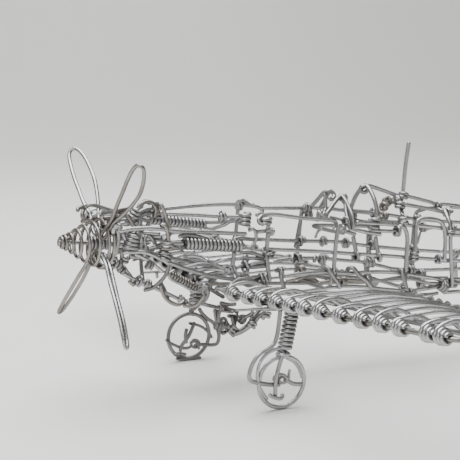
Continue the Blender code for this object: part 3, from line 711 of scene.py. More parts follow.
@dataclass
class Engine:
    """Cowl ring, engine hoops, rails, coils and the chin."""

    bench: WireBench
    cowl_x: float = -71.0
    cowl_radius: float = 11.0
    stack_turns: float = 4.2
    stack_steps: int = 20

    runs: tuple[Run, ...] = (
        Run("rail_near_wire", ((-72.8, -12.6, 71.7), (-73, -13.4, 74.3), (-71.4, -14.2, 75.6),
            (-70.4, -14.8, 74.7), (-71.3, -15, 73.3), (-66.5, -15.2, 74.1), (-56.3, -15.6, 74.9),
            (-50.4, -15.6, 74.6), (-44.4, -15.5, 74), (-29.3, -15.4, 74), (-8, -15.4, 73.7)),
            BRIGHT, radius=1.02, nodes=("engine_rail_port",)),
        Run("upper_stub_wire", ((-69.6, -11, 75.7), (-67.4, -11, 76.2), (-65, -11, 76.1)), BRIGHT),
        Run("top_stub_wire", ((-77.3, -6, 79.6), (-72.6, -2, 79.9), (-67.9, 0, 79.9),
            (-63.7, 2, 79.6)), BRIGHT),
        Run("far_top_wire", ((-76.9, 12, 79.9), (-76.6, 11.2, 81.1), (-74.5, 10.4, 81.7),
            (-70.3, 10, 80.8), (-65.7, 10, 79.6), (-60.2, 10, 78.5))),
        Run("far_ring_loop", ((-80.6, 12, 78.2), (-80, 12.7, 79.6), (-78.5, 12.9, 80.2),
            (-77.6, 12.6, 79.2), (-78.4, 11.5, 77.4), (-78.4, 10.7, 75.6), (-77.3, 10, 74.5)),
            WARM),
        Run("far_ring_stub", ((-78.9, 11, 73.6), (-77.4, 9, 74.5), (-75.8, 6, 75.4)), WARM),
        Run("curl_wire", ((-71.7, -10, 77.8), (-72.2, -12, 80.6), (-69, -8, 81.2),
            (-64.9, -4, 81.4), (-61.9, -2, 81.6)), WARM),
        Run("plug_lead", ((-66.6, -11, 80.1), (-61.9, -11, 74.3)), WARM,
            bend=Bend.EXACT),
        Run("arch_wire", ((-59.2, -6, 82.1), (-58, -6, 84.4), (-54.7, -6, 85.8), (-51.8, -6, 84.9),
            (-50.3, -6, 82.8), (-50.1, -5.6, 80.4), (-50.2, -5, 78.8)), WARM,
            nodes=("engine_arch",)),
        Run("plug_wire_a", ((-58.2, -4, 79.6), (-56.6, -4, 80.9), (-53.7, -4, 82.2),
            (-50.8, -4, 82.7), (-47.3, -4, 82.7))),
        Run("plug_wire_b", ((-57.3, -4, 78.2), (-55.7, -4, 79.4), (-53.5, -4, 80.1),
            (-50.6, -4, 80.4), (-46.6, -4, 80.5))),
        Run("plug_wire_c", ((-57.3, -2, 76.9), (-55.4, -2, 77.6), (-53.3, -2, 76.8),
            (-50.9, -2, 77.5))),
        Run("hoop_wire", ((-49.6, -2, 83.3), (-51.3, -9, 85.3), (-50.7, -12, 85.3),
            (-49.3, -12.6, 82.8), (-47.6, -13, 78.5), (-46.2, -13.6, 74.7), (-45.9, -14.4, 73),
            (-47.3, -14.8, 71.6)), WARM, radius=0.92, nodes=("engine_hoop",)),
        Run("thick_strap", ((-51.2, -14.2, 76), (-50.3, -15.4, 76.6), (-49, -15.8, 75.5),
            (-48, -15.8, 72.7), (-47.2, -15.8, 69.5), (-47, -15.6, 67.5)), WARM, radius=1),
        Run("flat_loop", ((-50.6, -12, 66), (-50.3, -15, 67.8), (-48.1, -17.6, 68.2),
            (-45.6, -18, 67.1), (-46.6, -16.4, 65.9), (-49.9, -14, 65.8)), WARM),
        Run("coil_lead_wire", ((-46.6, -15, 68.1), (-43.1, -15, 68.3), (-39.2, -15, 68.4)), BRIGHT),
        Run("mid_stub_a", ((-57, -9, 72.2), (-54.3, -10.5, 72.3), (-49.8, -12, 71.9))),
        Run("mid_stub_b", ((-52.4, -9, 70.2), (-50.7, -10.5, 70.7), (-48.9, -12, 70.6))),
        Run("mid_stub_c", ((-49.9, -7, 68.4), (-48.6, -9.5, 69.6), (-46.8, -12, 69.4))),
        Run("mid_stub_d", ((-54.6, -11, 65.2), (-53.2, -11.5, 66.1), (-51, -12, 66.7)), BRIGHT),
        Run("u_wire", ((-55.1, -10, 64.9), (-56.4, -10, 69.2), (-55.2, -10, 71), (-53.4, -10, 70.2),
            (-51.7, -10, 68.1), (-50, -10, 65.9)), radius=0.9),
        Run("vertical_wire", ((-70.5, -11, 74), (-69.4, -11, 70), (-69.6, -11, 66),
            (-70.4, -11, 62.4))),
        Run("bright_peg", ((-67.5, -10, 72), (-66.5, -10, 70), (-65.4, -10, 68.4)), BRIGHT),
        Run("peg_wire", ((-66.6, -8, 65), (-66.1, -8, 62.1), (-64.7, -8, 59)), WARM, radius=0.95),
        Run("low_rail_near_wire", ((-66.8, -10, 63), (-64.2, -12, 63.5), (-58.6, -13, 63.9),
            (-54.3, -13.6, 63), (-50.5, -14, 61.5), (-47.6, -14.4, 60.3), (-45.6, -14.6, 59)),
            BRIGHT),
        Run("low_stub_wire", ((-63.5, -11, 62), (-61.3, -11, 61.3), (-58.2, -11, 61.3)), WARM),
        Run("low_brace_wire", ((-61.4, -12, 62.8), (-57, -12, 61.1), (-53.3, -12, 59.2),
            (-47.3, -12, 55.1)), BRIGHT, radius=0.9),
        Run("tail_stub_wire", ((-50.8, -13, 61.8), (-46.9, -13.5, 63), (-42.8, -14.1, 64.1),
            (-38.6, -14.6, 64.5)), BRIGHT),
        # The dark wires of the chin and under the engine are painted shade.
        Run("chin_hook_wire", ((-48.3, -14, 64), (-46, -14.6, 61.4), (-44.9, -13, 57.8),
            (-43.8, -9, 53.7), (-44.4, -5, 49.5), (-46.6, -1, 45.6), (-49.8, 1, 44.2)), DARK,
            radius=0.9),
        Run("chin_back_wire", ((-40.5, 4, 48), (-38.8, 2, 44.3), (-37.5, 0, 40)), DARK),
        Run("red_peg", ((-48.3, -8, 54.5), (-47.6, -8, 51.5)), WARM, radius=0.7, bend=Bend.EXACT),
        Run("keel_wire", ((-66.6, 0, 56), (-62.8, 0, 53.3), (-58.9, 0, 51.1), (-55, 0, 49.3),
            (-50.8, 0, 47.6), (-44.4, 0, 45.4), (-31.4, 0, 40.3), (-28, 0, 39.4), (-22.3, 0, 38.7),
            (-17.1, 0, 37.7), (-12, 0, 36.6)), BRIGHT, nodes=("chin_keel",)),
        Run("keel_second_wire", ((-60.3, 1, 54.6), (-58.8, 1, 52.6), (-56.6, 1, 50.5)), BRIGHT),
        Run("keel_low_stub", ((-58.4, -1, 48.9), (-55.5, -1, 46.7)), WARM, bend=Bend.EXACT),
        Run("side_peg", ((-70.4, -6, 54.6), (-68.5, -6, 57.5)), BRIGHT, bend=Bend.EXACT),
        Run("far_edge_hook", ((-54.1, 6, 57.3), (-50.2, 8, 57.9), (-46.2, 10, 56.8)), WARM,
            radius=0.7),
        Run("chin_loop_wire", ((-42.8, -1, 47.8), (-40.4, -2, 42), (-37.9, -3, 39.7),
            (-34.5, -4, 38.6), (-32.3, -4, 39.2), (-30.8, -3, 40.4), (-31.5, -2, 42)), WARM),
        Run("chin_wire", ((-30.3, -3, 38.3), (-28.9, -6, 38), (-27.2, -9, 39.3), (-25.3, -10, 41.9),
            (-24, -10, 44.4), (-24.7, -9, 45.6)), WARM, nodes=("chin_hoop",)),
        Run("chin_outer_wire", ((-24.8, -8, 49.6), (-23.4, -10, 48.4), (-22.7, -11, 46.1),
            (-22.8, -10, 42.8), (-24.4, -8, 39.6)), DARK, radius=0.9),
        Run("long_loop_wire", ((-29.4, 12, 52), (-32.2, 12, 50.5), (-31.8, 12, 48.6),
            (-25.1, 12, 45.4), (-18.4, 11.4, 42.4), (-15.8, 11, 42.7), (-14.7, 11, 44.6),
            (-18.1, 11.4, 46.7)), BRIGHT),
        Run("bundle_a", ((-7, -9, 64.3), (-3.7, -10.7, 64.9), (-0.2, -12.3, 64.1), (3.5, -14, 63))),
        Run("bundle_b", ((-16.6, -4, 58.6), (-14.5, -7, 60.5), (-6.9, -10, 61.7), (4.1, -13, 62.1)),
            BRIGHT),
        Run("bundle_c", ((-3.2, -12, 58.6), (-0.5, -13.5, 59.9), (3.8, -15, 61.1))),
        Run("bundle_d", ((-2.6, -12, 57.7), (0.8, -13.5, 58.3), (4.2, -15, 58.9))),
        Run("bundle_drop", ((-12.7, -14, 65), (-12.8, -14, 61.8), (-13.2, -14, 58.7))),
        Run("bundle_link", ((-15.6, -13, 56.2), (-10.8, -12.7, 57.3), (-6.6, -12.3, 58.6),
            (-2.7, -12, 58.5))),
        Run("ridge_near_wire", ((-42.2, -15, 71.5), (-38.5, -15, 72.2), (-32.5, -15, 71.8),
            (-27, -15, 70.6))),
        Run("ridge_rear_wire", ((-12.5, -12, 70.5), (-9.3, -12, 71.4), (-3.9, -12, 70.9),
            (2.4, -12, 71))),
        Run("root_stay_wire", ((-8.7, -15, 54.7), (-4.9, -15, 53.7), (-0.7, -15, 52.5)), WARM),
        Run("root_back_wire_a", ((-17.7, -2, 46), (-13.4, -1, 43.8), (-8.4, 0, 41.4)), DARK),
        Run("root_back_wire_b", ((-15, -2, 45.5), (-10.4, -6, 46.3))),
        Run("root_back_wire_c", ((-14.3, -2, 47.1), (-10.9, -4, 44.9), (-9.1, -6, 43.1))),
        Run("under_wire_a", ((-13.1, -2, 37), (-10.1, -2, 37.4), (-6.8, -2, 36.2), (-1.3, -2, 35)),
            DARK),
        Run("under_wire_b", ((-12.4, -4, 39.5), (-8.1, -4, 38.7), (-3.9, -4, 39)), DARK),
        Run("gathered_wire_a", ((-28.7, 22, 58.2), (-23.7, 20, 59.7), (-17.7, 16, 60.5)), BRIGHT),
        Run("gathered_wire_b", ((-26.9, 22, 55.2), (-23.6, 16, 58.2), (-20.6, 10, 59.5),
            (-18.5, 5, 59.3), (-17.6, 2, 58.4)), BRIGHT),
        Run("gathered_wire_c", ((-21, 22, 52.2), (-18.6, 14, 55.2), (-17, 6, 57.2), (-15.3, -4, 57),
            (-14.1, -10, 56.9)), BRIGHT),
        Run("gathered_wire_d", ((-17.4, 20, 49.4), (-17.4, 12, 52.4), (-16.9, 2, 54.7),
            (-14, -10, 56)), BRIGHT),
        Run("gathered_wire_e", ((-13.9, 18, 47.6), (-13.5, 8, 51), (-13.9, -10, 55.3)), BRIGHT),
        Run("gathered_wire_f", ((-9.7, 14, 46.4), (-11.9, 0, 51.4), (-13.8, -10, 54.1)), BRIGHT),
    )
    ties: tuple[Tie, ...] = (
        Tie("brace_knot", (-54.1, -11.8, 57.9), (1, 0.1, -0.5), 1.3, 1.7, phase=40, finish=DARK),
        Tie("ring_knot", (-70.6, -7, 60), (0.4, -0.2, 1), 1.6, 2.1, gauge=0.85, phase=200, tail=1.2,
            finish=BRIGHT),
        Tie("ring_knot_side", (-71.1, -12.6, 74.8), (0.5, -0.3, 1), 1.3, 1.5, gauge=0.8, phase=60,
            finish=BRIGHT),
        Tie("peg_knot_a", (-66.8, -8, 57.6), (0.9, -0.2, -0.5), 1.8, 1.7, gauge=0.8, phase=40,
            finish=DARK),
        Tie("peg_knot_b", (-64.5, -8, 59.6), (0.2, -0.3, 1), 1.7, 1.6, gauge=0.8, phase=140),
        Tie("peg_knot_c", (-63.8, -4, 54.7), (0.8, 0, -0.5), 1.5, 1.5, gauge=0.8, phase=20,
            finish=DARK),
        Tie("plug_wrap", (-60.3, -6, 80), (0.35, -0.25, 1), 2.7, 1.85, gauge=0.86, phase=20),
        Tie("plug_wrap_low", (-58.3, -5, 76.9), (1, 0.2, 0.1), 1.8, 1.2, gauge=0.7, phase=90),
        Tie("engine_arch_knot", (-49.6, -5, 83.1), (0.2, 1, 0.1), 1.3, 1.5, gauge=0.8, phase=30,
            finish=WARM),
        Tie("arch_knot_low", (-46.9, -4, 79.9), (1, 0.2, 0.3), 1.3, 1.4, gauge=0.75, phase=200,
            finish=BRIGHT),
        Tie("rail_knot", (-47.7, -14, 63.9), (0.3, 0.2, 1), 1.3, 2.1, phase=100),
        Tie("hoop_knot", (-47.3, -14.2, 61.8), (0.5, 0.1, 1), 1.8, 2.2, phase=150),
        Tie("keel_ball_a", (-53, 0, 48.9), (1, 0, -0.45), 1.4, 2.1, gauge=0.88, phase=100),
        Tie("keel_ball_b", (-48.7, 0, 47.6), (1, 0, -0.6), 1.3, 1.6, gauge=0.8, phase=10),
        Tie("keel_knot", (-29.9, 0, 40.1), (0.6, 0.2, 1), 1.3, 1.9, phase=90),
        Tie("keel_knot_front", (-28.1, 0, 38.4), (1, 0, -0.2), 1.3, 1.5, gauge=0.8, phase=30),
        Tie("chin_knot", (-23.4, -8, 48.8), (0.6, 0.5, 1), 1.7, 2.2, gauge=0.86),
        Tie("gather_wrap", (-13.6, -13, 56.8), (1, 0.2, 0.15), 2.4, 1.95, phase=60),
        Tie("gather_wrap_rear", (-5.4, -12.6, 58.5), (1, 0, 0.25), 1.6, 2.05, gauge=0.86, phase=120,
            tail=1.6),
        Tie("root_wrap", (2.1, -16, 53), (1, -0.1, 0.2), 2.4, 2, phase=80),
        Tie("upright_wrap", (-8.9, -14.6, 80.3), (0, 0, 1), 3.4, 2.15, phase=300, pitch=1.85),
        Tie("far_wing_knot_b", (-11.7, 13, 44.3), (0.1, 1, 0), 2, 2, phase=50),
    )

    far_runs: tuple[Run, ...] = (
        Run("rail_far_wire", ((-70.4, 12.6, 72.8), (-60, 14, 74.4), (-46, 15.4, 75.6),
            (-24, 15.4, 75), (-8, 15.4, 75.2), (5, 15.4, 76.6)),
            nodes=("engine_rail_starboard",)),
        Run("low_rail_rear_wire", ((-49, -14, 61), (-38, -14.6, 57.2), (-22, -14.6, 53.6),
            (-2, -15, 51.6), (5, -15.2, 51.4)), nodes=("chin_rail_port",)),
        Run("low_rail_far_wire", ((-69.6, 12, 62.6), (-58, 13.4, 63.4), (-47, 14.6, 61),
            (-26, 14.4, 56.8), (5, 15.2, 52.6)), nodes=("chin_rail_starboard",)),
        Run("far_hoop_wire", ((-50.6, 0, 84.4), (-51, 5, 84.8), (-50.4, 9.6, 82.4),
            (-49, 12.8, 77), (-47.6, 13.8, 68), (-46.8, 13.2, 56), (-46.8, 9, 47.6),
            (-47.4, 3, 45.2))),
        Run("cowl_stay_top", ((-72, 1, 77), (-66.8, 1, 77.2), (-58, 0, 79.4), (-51, -1, 83)),
            radius=WIRE * 0.92),
        Run("cowl_stay_far", ((-72, 10.6, 69), (-66.8, 10.6, 70.4), (-56, 11.4, 70.4),
            (-47, 13, 70.2)), radius=WIRE * 0.92),
        Run("cowl_stay_low", ((-72, 0, 54.6), (-66.8, 0, 54.6), (-60, 2, 58), (-52, 6, 60),
            (-47, 12, 59)), radius=WIRE * 0.92),
        Run("inner_wire_a", ((-68, -4, 70), (-60, -2, 71), (-52, 2, 72), (-47, 12, 72)),
            radius=WIRE * 0.92),
        Run("inner_wire_b", ((-66, 3, 60), (-58, 1, 64), (-50, -3, 68), (-46, -11, 70)),
            radius=WIRE * 0.92),
    )

    def build(self) -> None:
        """Bend every wire of the engine, the ring behind the spinner's own first."""
        ring = circle((self.cowl_x, 0.0, SHAFT_Z), self.cowl_radius, 40, across=1)
        self.bench.tube("cowl_wire", ring, closed=True, finish=WARM, nodes=["cowl_ring"])
        self.bench.lay(self.runs)
        self.bench.bind(self.ties)
        self.bench.lay(self.far_runs)
        self.build_exhausts()
        self.build_stack()
        self.bench.tube("chin_coil", coil((-31.2, 12.0, 50.2), (-16.4, 12.0, 43.4), 1.3, 10.5),
                        radius=0.7, finish=WARM)

    def build_exhausts(self) -> None:
        """Wind the long exhaust coil of each side, with the wire that it leaves in."""
        port = coil((-39.4, -15.0, 68.6), (-9.6, -15.0, 67.9), 2.25, 15.5, phase=160, steps=18)
        port += [(-8.0, -15.2, 67.2), (-5.6, -15.4, 67.4), (-3.6, -15.8, 69.2),
                 (-3.0, -16.2, 72.2), (-3.6, -16.2, 75.2), (-5.0, -15.6, 76.2),
                 (-6.6, -14.4, 75.2)]
        self.bench.tube("near_exhaust", port, radius=COIL_WIRE, nodes=["exhaust_coil_port"])
        starboard = coil((-45.4, 10.6, 76.2), (-16.4, 11.2, 74.6), 1.72, 15.5, steps=16)
        starboard += [(-14.8, 11.0, 72.9), (-12.0, 9.0, 73.0), (-10.4, 2.0, 75.6),
                      (-10.6, -5.0, 78.6), (-11.0, -11.0, 79.4)]
        self.bench.tube("far_exhaust", starboard, radius=COIL_WIRE,
                        nodes=["exhaust_coil_starboard"])

    def build_stack(self) -> None:
        """Wind the short coil of thick wire, an oval that widens downwards."""
        stack = []
        for index in range(round(self.stack_turns * self.stack_steps) + 1):
            angle = index / self.stack_steps * 2 * math.pi
            share = index / (self.stack_turns * self.stack_steps)
            spread = 2.0 + 1.4 * share
            stack.append((-61.9 - 1.4 * share + spread * math.cos(angle),
                          -10.8 + 2.4 * math.sin(angle), 71.9 - 7.2 * share))
        self.bench.tube("thick_stack", stack, nodes=["engine_coil"])


@dataclass
class Fuselage:
    """Longerons, hoops, spine and the ties that hold them."""

    bench: WireBench
    half_width: float = 15.0
    tail_half_width: float = 11.0
    hoop_gap: float = 1.6

    runs: tuple[Run, ...] = (
        Run("upper_longeron_far_front_wire", ((-38.5, 11.6, 81), (-20.1, 12.4, 83.2),
            (-4.4, 13.4, 84.2), (7.9, 14.4, 84), (14.8, 15, 83), (16.5, 15, 81.7), (15.2, 14.2, 80),
            (11.9, 12.4, 79.8)), BRIGHT, nodes=("upper_longeron_starboard",)),
        Run("upper_longeron_far_wire", ((14.7, 16, 83.3), (16.7, 15, 83.1), (29.1, 15, 83.5),
            (39.3, 15, 83.9), (49.2, 15, 84.3), (65.9, 15, 83.4), (80.5, 15, 82.7)), BRIGHT),
        Run("upper_longeron_near_front_wire", ((-48.3, -11.8, 81.3), (-32.2, -12.6, 81.3),
            (-23, -13.6, 81.2), (-16.7, -14.4, 81.3), (-12.1, -14.8, 81.4)), BRIGHT,
            nodes=("upper_longeron_port",)),
        Run("upper_longeron_near_wire", ((-0.4, -17.2, 78.6), (-3.6, -18, 80), (-2.5, -17, 81.9),
            (1.7, -15.4, 82.9), (5.4, -15, 83.2), (20.1, -15, 82.1), (34.5, -15, 81.6),
            (39, -15, 81.2), (41.1, -14.2, 79.5), (39.4, -13.6, 77.7)), BRIGHT),
        Run("middle_longeron_far_wire", ((5.5, 15, 67.5), (13.8, 15, 67.6), (33.6, 15, 67.4),
            (65.9, 15, 67.4), (73.1, 15, 66.5), (104.3, 15, 64.6), (139, 15, 63.6)), BRIGHT),
        Run("middle_longeron_near_wire", ((2, -17.6, 65.9), (-0.2, -18, 66.6), (1.2, -16.8, 67.2),
            (5.2, -15.4, 66.9), (16.3, -15, 66.7), (38.7, -15, 66.2), (50.4, -15, 65.7),
            (63.2, -15, 65.4), (83.2, -15, 64.6), (116.1, -15, 63.4)), BRIGHT),
        Run("lower_longeron_far_wire", ((25.6, 15, 57), (36.8, 15, 58.5), (51.7, 15, 58.9),
            (67, 15, 58.1), (78.6, 15, 57.4), (99.3, 15, 53.7), (108, 15, 51.7)), BRIGHT),
        Run("lower_longeron_near_wire", ((14, -15, 54.2), (23, -15, 55.5), (36.7, -15, 56.5),
            (48.1, -15, 56.2), (67, -15, 57.1), (78.8, -15, 56.8), (92.4, -15, 55.3),
            (103.6, -15, 53.8), (107.7, -15.4, 51.9), (108.6, -16.6, 49.5)), BRIGHT),
        Run("rear_tie_near_wire", ((86.1, -15, 47.5), (95.6, -15, 49.2), (103.8, -15, 50.5)),
            BRIGHT),
        Run("rear_tie_low_wire", ((91.8, -10, 45), (103.4, -10, 45.3), (108.3, -10, 46.1))),
        Run("far_low_wire", ((82, 12, 48.4), (90, 12, 48.6), (98.5, 12, 49), (113.8, 12, 50),
            (130.5, 12, 50.4)), BRIGHT),
        Run("near_rear_wire", ((105.5, -15, 53.4), (117.3, -15, 54.2)), BRIGHT),
        Run("near_rear_low_wire", ((108.2, -15, 47.2), (118.1, -15, 47.9)), BRIGHT),
        Run("rail_rear_wire", ((-3.8, -15.4, 74.7), (0, -15.6, 75.2), (3.6, -16.6, 76),
            (4.5, -18.2, 76), (4, -18.6, 74.9), (2.4, -17.2, 74.2)), BRIGHT),
        Run("post_front_wire", ((2.4, -16.6, 79.6), (2.8, -16.6, 71.4), (3, -16.4, 65.7),
            (4.5, -16.4, 58.3), (6.1, -16.4, 51.7)), radius=1.05),
        Run("post_far_front_wire", ((40.1, 16.6, 82.2), (39.2, 16.6, 74.7), (38, 16.6, 63.6))),
        Run("post_middle_wire", ((41.2, -16.6, 80.3), (40.3, -16.8, 74.3), (40.3, -16.6, 65.6),
            (40.7, -16.4, 56.6)), radius=1.08),
        Run("post_far_middle_wire", ((80.4, 16.6, 71.8), (81, 16.6, 66.2), (81.8, 16.6, 57.4))),
        Run("post_rear_wire", ((75.5, -15, 79), (77.4, -16.6, 80.1), (79.4, -16.8, 78.5),
            (81.1, -16.8, 74.4), (81.8, -16.6, 66.5), (82.3, -16.4, 57.3)), radius=1.1),
        Run("post_far_rear_wire", ((110.2, 16.6, 57.9), (111.1, 16.6, 50.5))),
        Run("small_post_a", ((50.9, -14.6, 74.1), (52.2, -15, 69.5), (53.3, -15.6, 65.3)),
            radius=1.1),
        Run("small_post_b", ((63.8, -14.6, 74.4), (65, -15, 69.3), (66.3, -15.6, 65)), radius=1.1),
        Run("brace_hook_a", ((10.4, -13.4, 56.1), (11.3, -14.6, 57.4), (11.6, -16.6, 56.3),
            (11.6, -17.6, 53.4), (13.1, -18.6, 48.8)), radius=1.08, nodes=("wing_brace_port",)),
        Run("brace_hook_b", ((36.3, -13.4, 57.1), (37.3, -14.6, 58.8), (37.8, -16.6, 58.2),
            (40.2, -17.6, 54.7), (42.3, -18.6, 52.2), (43.7, -19, 49.2)), radius=1.12),
        Run("brace_hook_c", ((50.1, -13.4, 56.3), (50, -14.6, 58.5), (51.6, -16.6, 58.9),
            (53.9, -17.6, 56.1), (58.8, -18.6, 52.8), (62.1, -19, 49.3)), radius=1.12),
        Run("brace_hook_d", ((79.8, -14, 58.3), (80.1, -16.4, 58.3), (81.2, -17.8, 53.8),
            (83.8, -19, 45.5)), radius=1.12),
        Run("far_brace_a", ((38.4, 14, 49.7), (45.6, 16, 47.9), (54.6, 18, 44.4)), WARM),
        Run("far_brace_b", ((43.1, 14, 49.2), (49.1, 16, 48.4), (56.6, 18, 44.9)), WARM),
        Run("floor_wire_a", ((44.1, 2, 48.3), (55.4, 0, 50.5), (69.4, -2, 50.5)), WARM),
        Run("floor_wire_b", ((28.2, 6, 48.6), (41.5, 4, 51.6), (50.8, 2, 50.6)), WARM),
        Run("tail_rail_near", ((104.3, -16.6, 79.4), (108.5, -15, 78.8), (114.1, -15, 78.6)),
            BRIGHT),
        Run("tail_rail_low", ((104.9, -16.8, 77), (109.4, -15, 76.6), (114.4, -15, 76.4)), BRIGHT),
        Run("tail_small_post", ((134.3, 13.4, 63.9), (135.6, 13.6, 58), (137, 13.4, 50.1))),
    )
    ties: tuple[Tie, ...] = (
        Tie("knot_rail_hook", (-20.7, -13.8, 81.1), (1, 0, 0.1), 1.3, 2, gauge=0.88, phase=40,
            tail=1.4),
        Tie("knot_post_top", (0.8, -16.4, 80.1), (0, 0, 1), 1.6, 2.5, phase=140),
        Tie("knot_post_rail", (3, -16.8, 75.3), (0, 0, 1), 1.6, 1.8, phase=220),
        Tie("knot_post_mid", (3.9, -16.6, 64.8), (0, 0, 1), 1.7, 2, phase=250),
        Tie("knot_far_a", (52.7, 15, 67.6), (1, 0, 0), 1.3, 2.1, phase=30),
        Tie("knot_far_b", (66.2, 15, 67.1), (1, 0, 0), 1.3, 2.1, phase=80),
        Tie("knot_lower_far_a", (38.2, 15, 58.5), (1, 0, 0.1), 1.3, 2.3, phase=100),
        Tie("knot_lower_far_b", (53.6, 15, 58.5), (1, 0, 0), 2.2, 2.1, phase=20),
        Tie("knot_lower_far_c", (80.5, 15, 57.4), (1, 0, 0), 1.4, 2, phase=60),
        Tie("knot_upper_far", (42.1, 15, 83.3), (1, 0, 0), 1.8, 2, phase=10),
        Tie("knot_upper_far_low", (42.3, 13.6, 80.7), (1, 0.2, 0), 2, 1.6, gauge=0.8, phase=10,
            finish=WARM),
        Tie("knot_lower_near_end", (106.6, -15.6, 50.4), (0.9, 0, -0.5), 2.4, 2.3, phase=60),
        Tie("knot_lower_near_front", (12.6, -15.2, 56), (1, 0, 0.15), 1.3, 2.1, gauge=0.9,
            phase=300),
        Tie("knot_post_foot_mid", (41.4, -15.6, 56.9), (1, 0, 0), 1.3, 1.8, gauge=0.8, phase=60),
        Tie("knot_small_a", (53.5, -15.4, 64.8), (1, 0, 0), 1.3, 1.8, gauge=0.92, phase=200),
        Tie("knot_small_b", (66.5, -15.4, 64.5), (1, 0, 0), 1.3, 1.8, gauge=0.92, phase=230),
        Tie("knot_window_foot", (87, -15.8, 65), (0, 0, 1), 2.9, 1.75, phase=30),
        Tie("knot_window_rear", (102.2, -15.4, 64.2), (1, 0, 0), 1.4, 1.75, phase=120),
        Tie("knot_far_rear_a", (114, 14, 52), (1, 0, 0), 2, 1.8, phase=120),
        Tie("knot_far_rear_b", (112, 10, 47.7), (1, 0.2, 0), 1.8, 2.1, gauge=0.9, phase=60,
            finish=WARM),
        Tie("knot_rear_hoop", (107, -16, 77.7), (0, 0, 1), 1.5, 1.9, phase=220),
        Tie("knot_rear_hoop_foot", (112.5, -15.6, 51.7), (0, 0, 1), 2, 1.9, phase=120),
        Tie("knot_rear_mid", (135.3, 13.6, 63.4), (1, 0, 0), 2, 1.8, phase=30),
        Tie("knot_tie_rear", (81.9, -18, 46.5), (1, -0.6, 0), 1.7, 2),
        Tie("knot_floor_a", (33.7, 2, 54.8), (1, 0.4, 0), 1.8, 1.8, finish=WARM),
        Tie("knot_floor_b", (57.2, 0, 49.7), (1, 0.4, 0), 1.8, 1.8, finish=WARM),
    )

    rear_runs: tuple[Run, ...] = (
        Run("rear_upper_port", ((51.6, -15, 81), (66, -15, 80.6), (94, -15, 80.2),
            (115, -14.4, 78.5), (143, -11, 78.8), (195.5, -2.2, 77.6)), BRIGHT),
        Run("rear_upper_starboard", ((60, 15, 83.9), (82, 15, 83), (109, 15, 80.6),
            (143, 11, 80), (195.5, 2.2, 78.8)), BRIGHT),
        Run("rear_middle_port", ((105.4, -15, 63.2), (120, -14, 63.3), (143, -11, 64),
            (195.5, -2.2, 70.2)), BRIGHT, nodes=("middle_longeron_port",)),
        Run("rear_middle_starboard", ((125, 15, 64), (139, 11.4, 63.9), (195.5, 2.2, 71.4)),
            BRIGHT, nodes=("middle_longeron_starboard",)),
        Run("rear_lower_port", ((98, -15, 51.8), (112, -14.6, 51.6), (143, -11, 54.9),
            (195.5, -2.2, 63)), BRIGHT, nodes=("lower_longeron_port",)),
        Run("rear_lower_starboard", ((96, 15, 54.4), (109, 15, 53.8), (143, 11, 56.1),
            (195.5, 2.2, 64.2)), BRIGHT, nodes=("lower_longeron_starboard",)),
        Run("rear_spine_wire", ((118, 0, 89.3), (124, 0, 89), (143, 0, 88.4), (158, 0, 86.5)),
            BRIGHT),
    )

    def build(self) -> None:
        """Bend every wire of the fuselage; the photograph's edge cuts off the rear ones."""
        self.bench.lay(self.runs)
        self.bench.bind(self.ties)
        self.bench.lay(self.rear_runs)
        self.build_hoops()
        self.build_ties()

    def build_hoops(self) -> None:
        """Bend the hoops round the longerons."""
        out = self.half_width + self.hoop_gap
        rings = {
            "firewall_hoop": (3.8, ((-out, 55.0), (-out, 52.6), (-12.0, 47.2), (12.0, 47.2),
                                    (out, 52.6), (out, 85.0), (12.0, 86.6), (2.0, 85.6))),
            "windscreen_hoop": (39.6, ((-out, 57.0), (-out, 50.0), (-12.0, 48.0), (12.0, 48.0),
                                       (out, 50.0), (out, 82.0), (out - 2.6, 85.4))),
            "cockpit_hoop": (82.4, ((-out, 57.0), (-out, 52.0), (-12.6, 49.6), (12.6, 49.6),
                                    (out, 52.0), (out, 81.0), (out - 2.6, 84.6))),
        }
        for name, (x, ring) in rings.items():
            self.bench.tube(f"{name}_wire", [(x, y, z) for y, z in ring], bend=Bend.CORNERED,
                            corner=2.4, nodes=[name])
        rear = [(-8.0, 87.0), (0.0, 88.4), (8.0, 87.0), (out - 1.2, 84.6), (out, 82.6),
                (out, 51.0), (out - 2.4, 49.4), (-out + 2.4, 49.4), (-out, 51.0)]
        rear = [(109.0 if abs(y) < 15 else 108.6, y, z) for y, z in rear]
        self.bench.tube("rear_hoop_wire", rear, bend=Bend.CORNERED, corner=3.0,
                        nodes=["rear_hoop"])
        out = self.tail_half_width + self.hoop_gap
        tail = [(0.0, 86.8), (6.0, 85.4), (out - 1, 83.0), (out, 80.8), (out, 56.0),
                (out - 2.4, 53.4), (-out + 2.4, 53.4), (-out, 56.0), (-out, 79.8),
                (-out + 1, 82.4), (-6.0, 85.4)]
        self.bench.tube("tail_hoop_wire", [(143.0, y, z) for y, z in tail], bend=Bend.CORNERED,
                        closed=True, corner=3.0, nodes=["tail_hoop"])

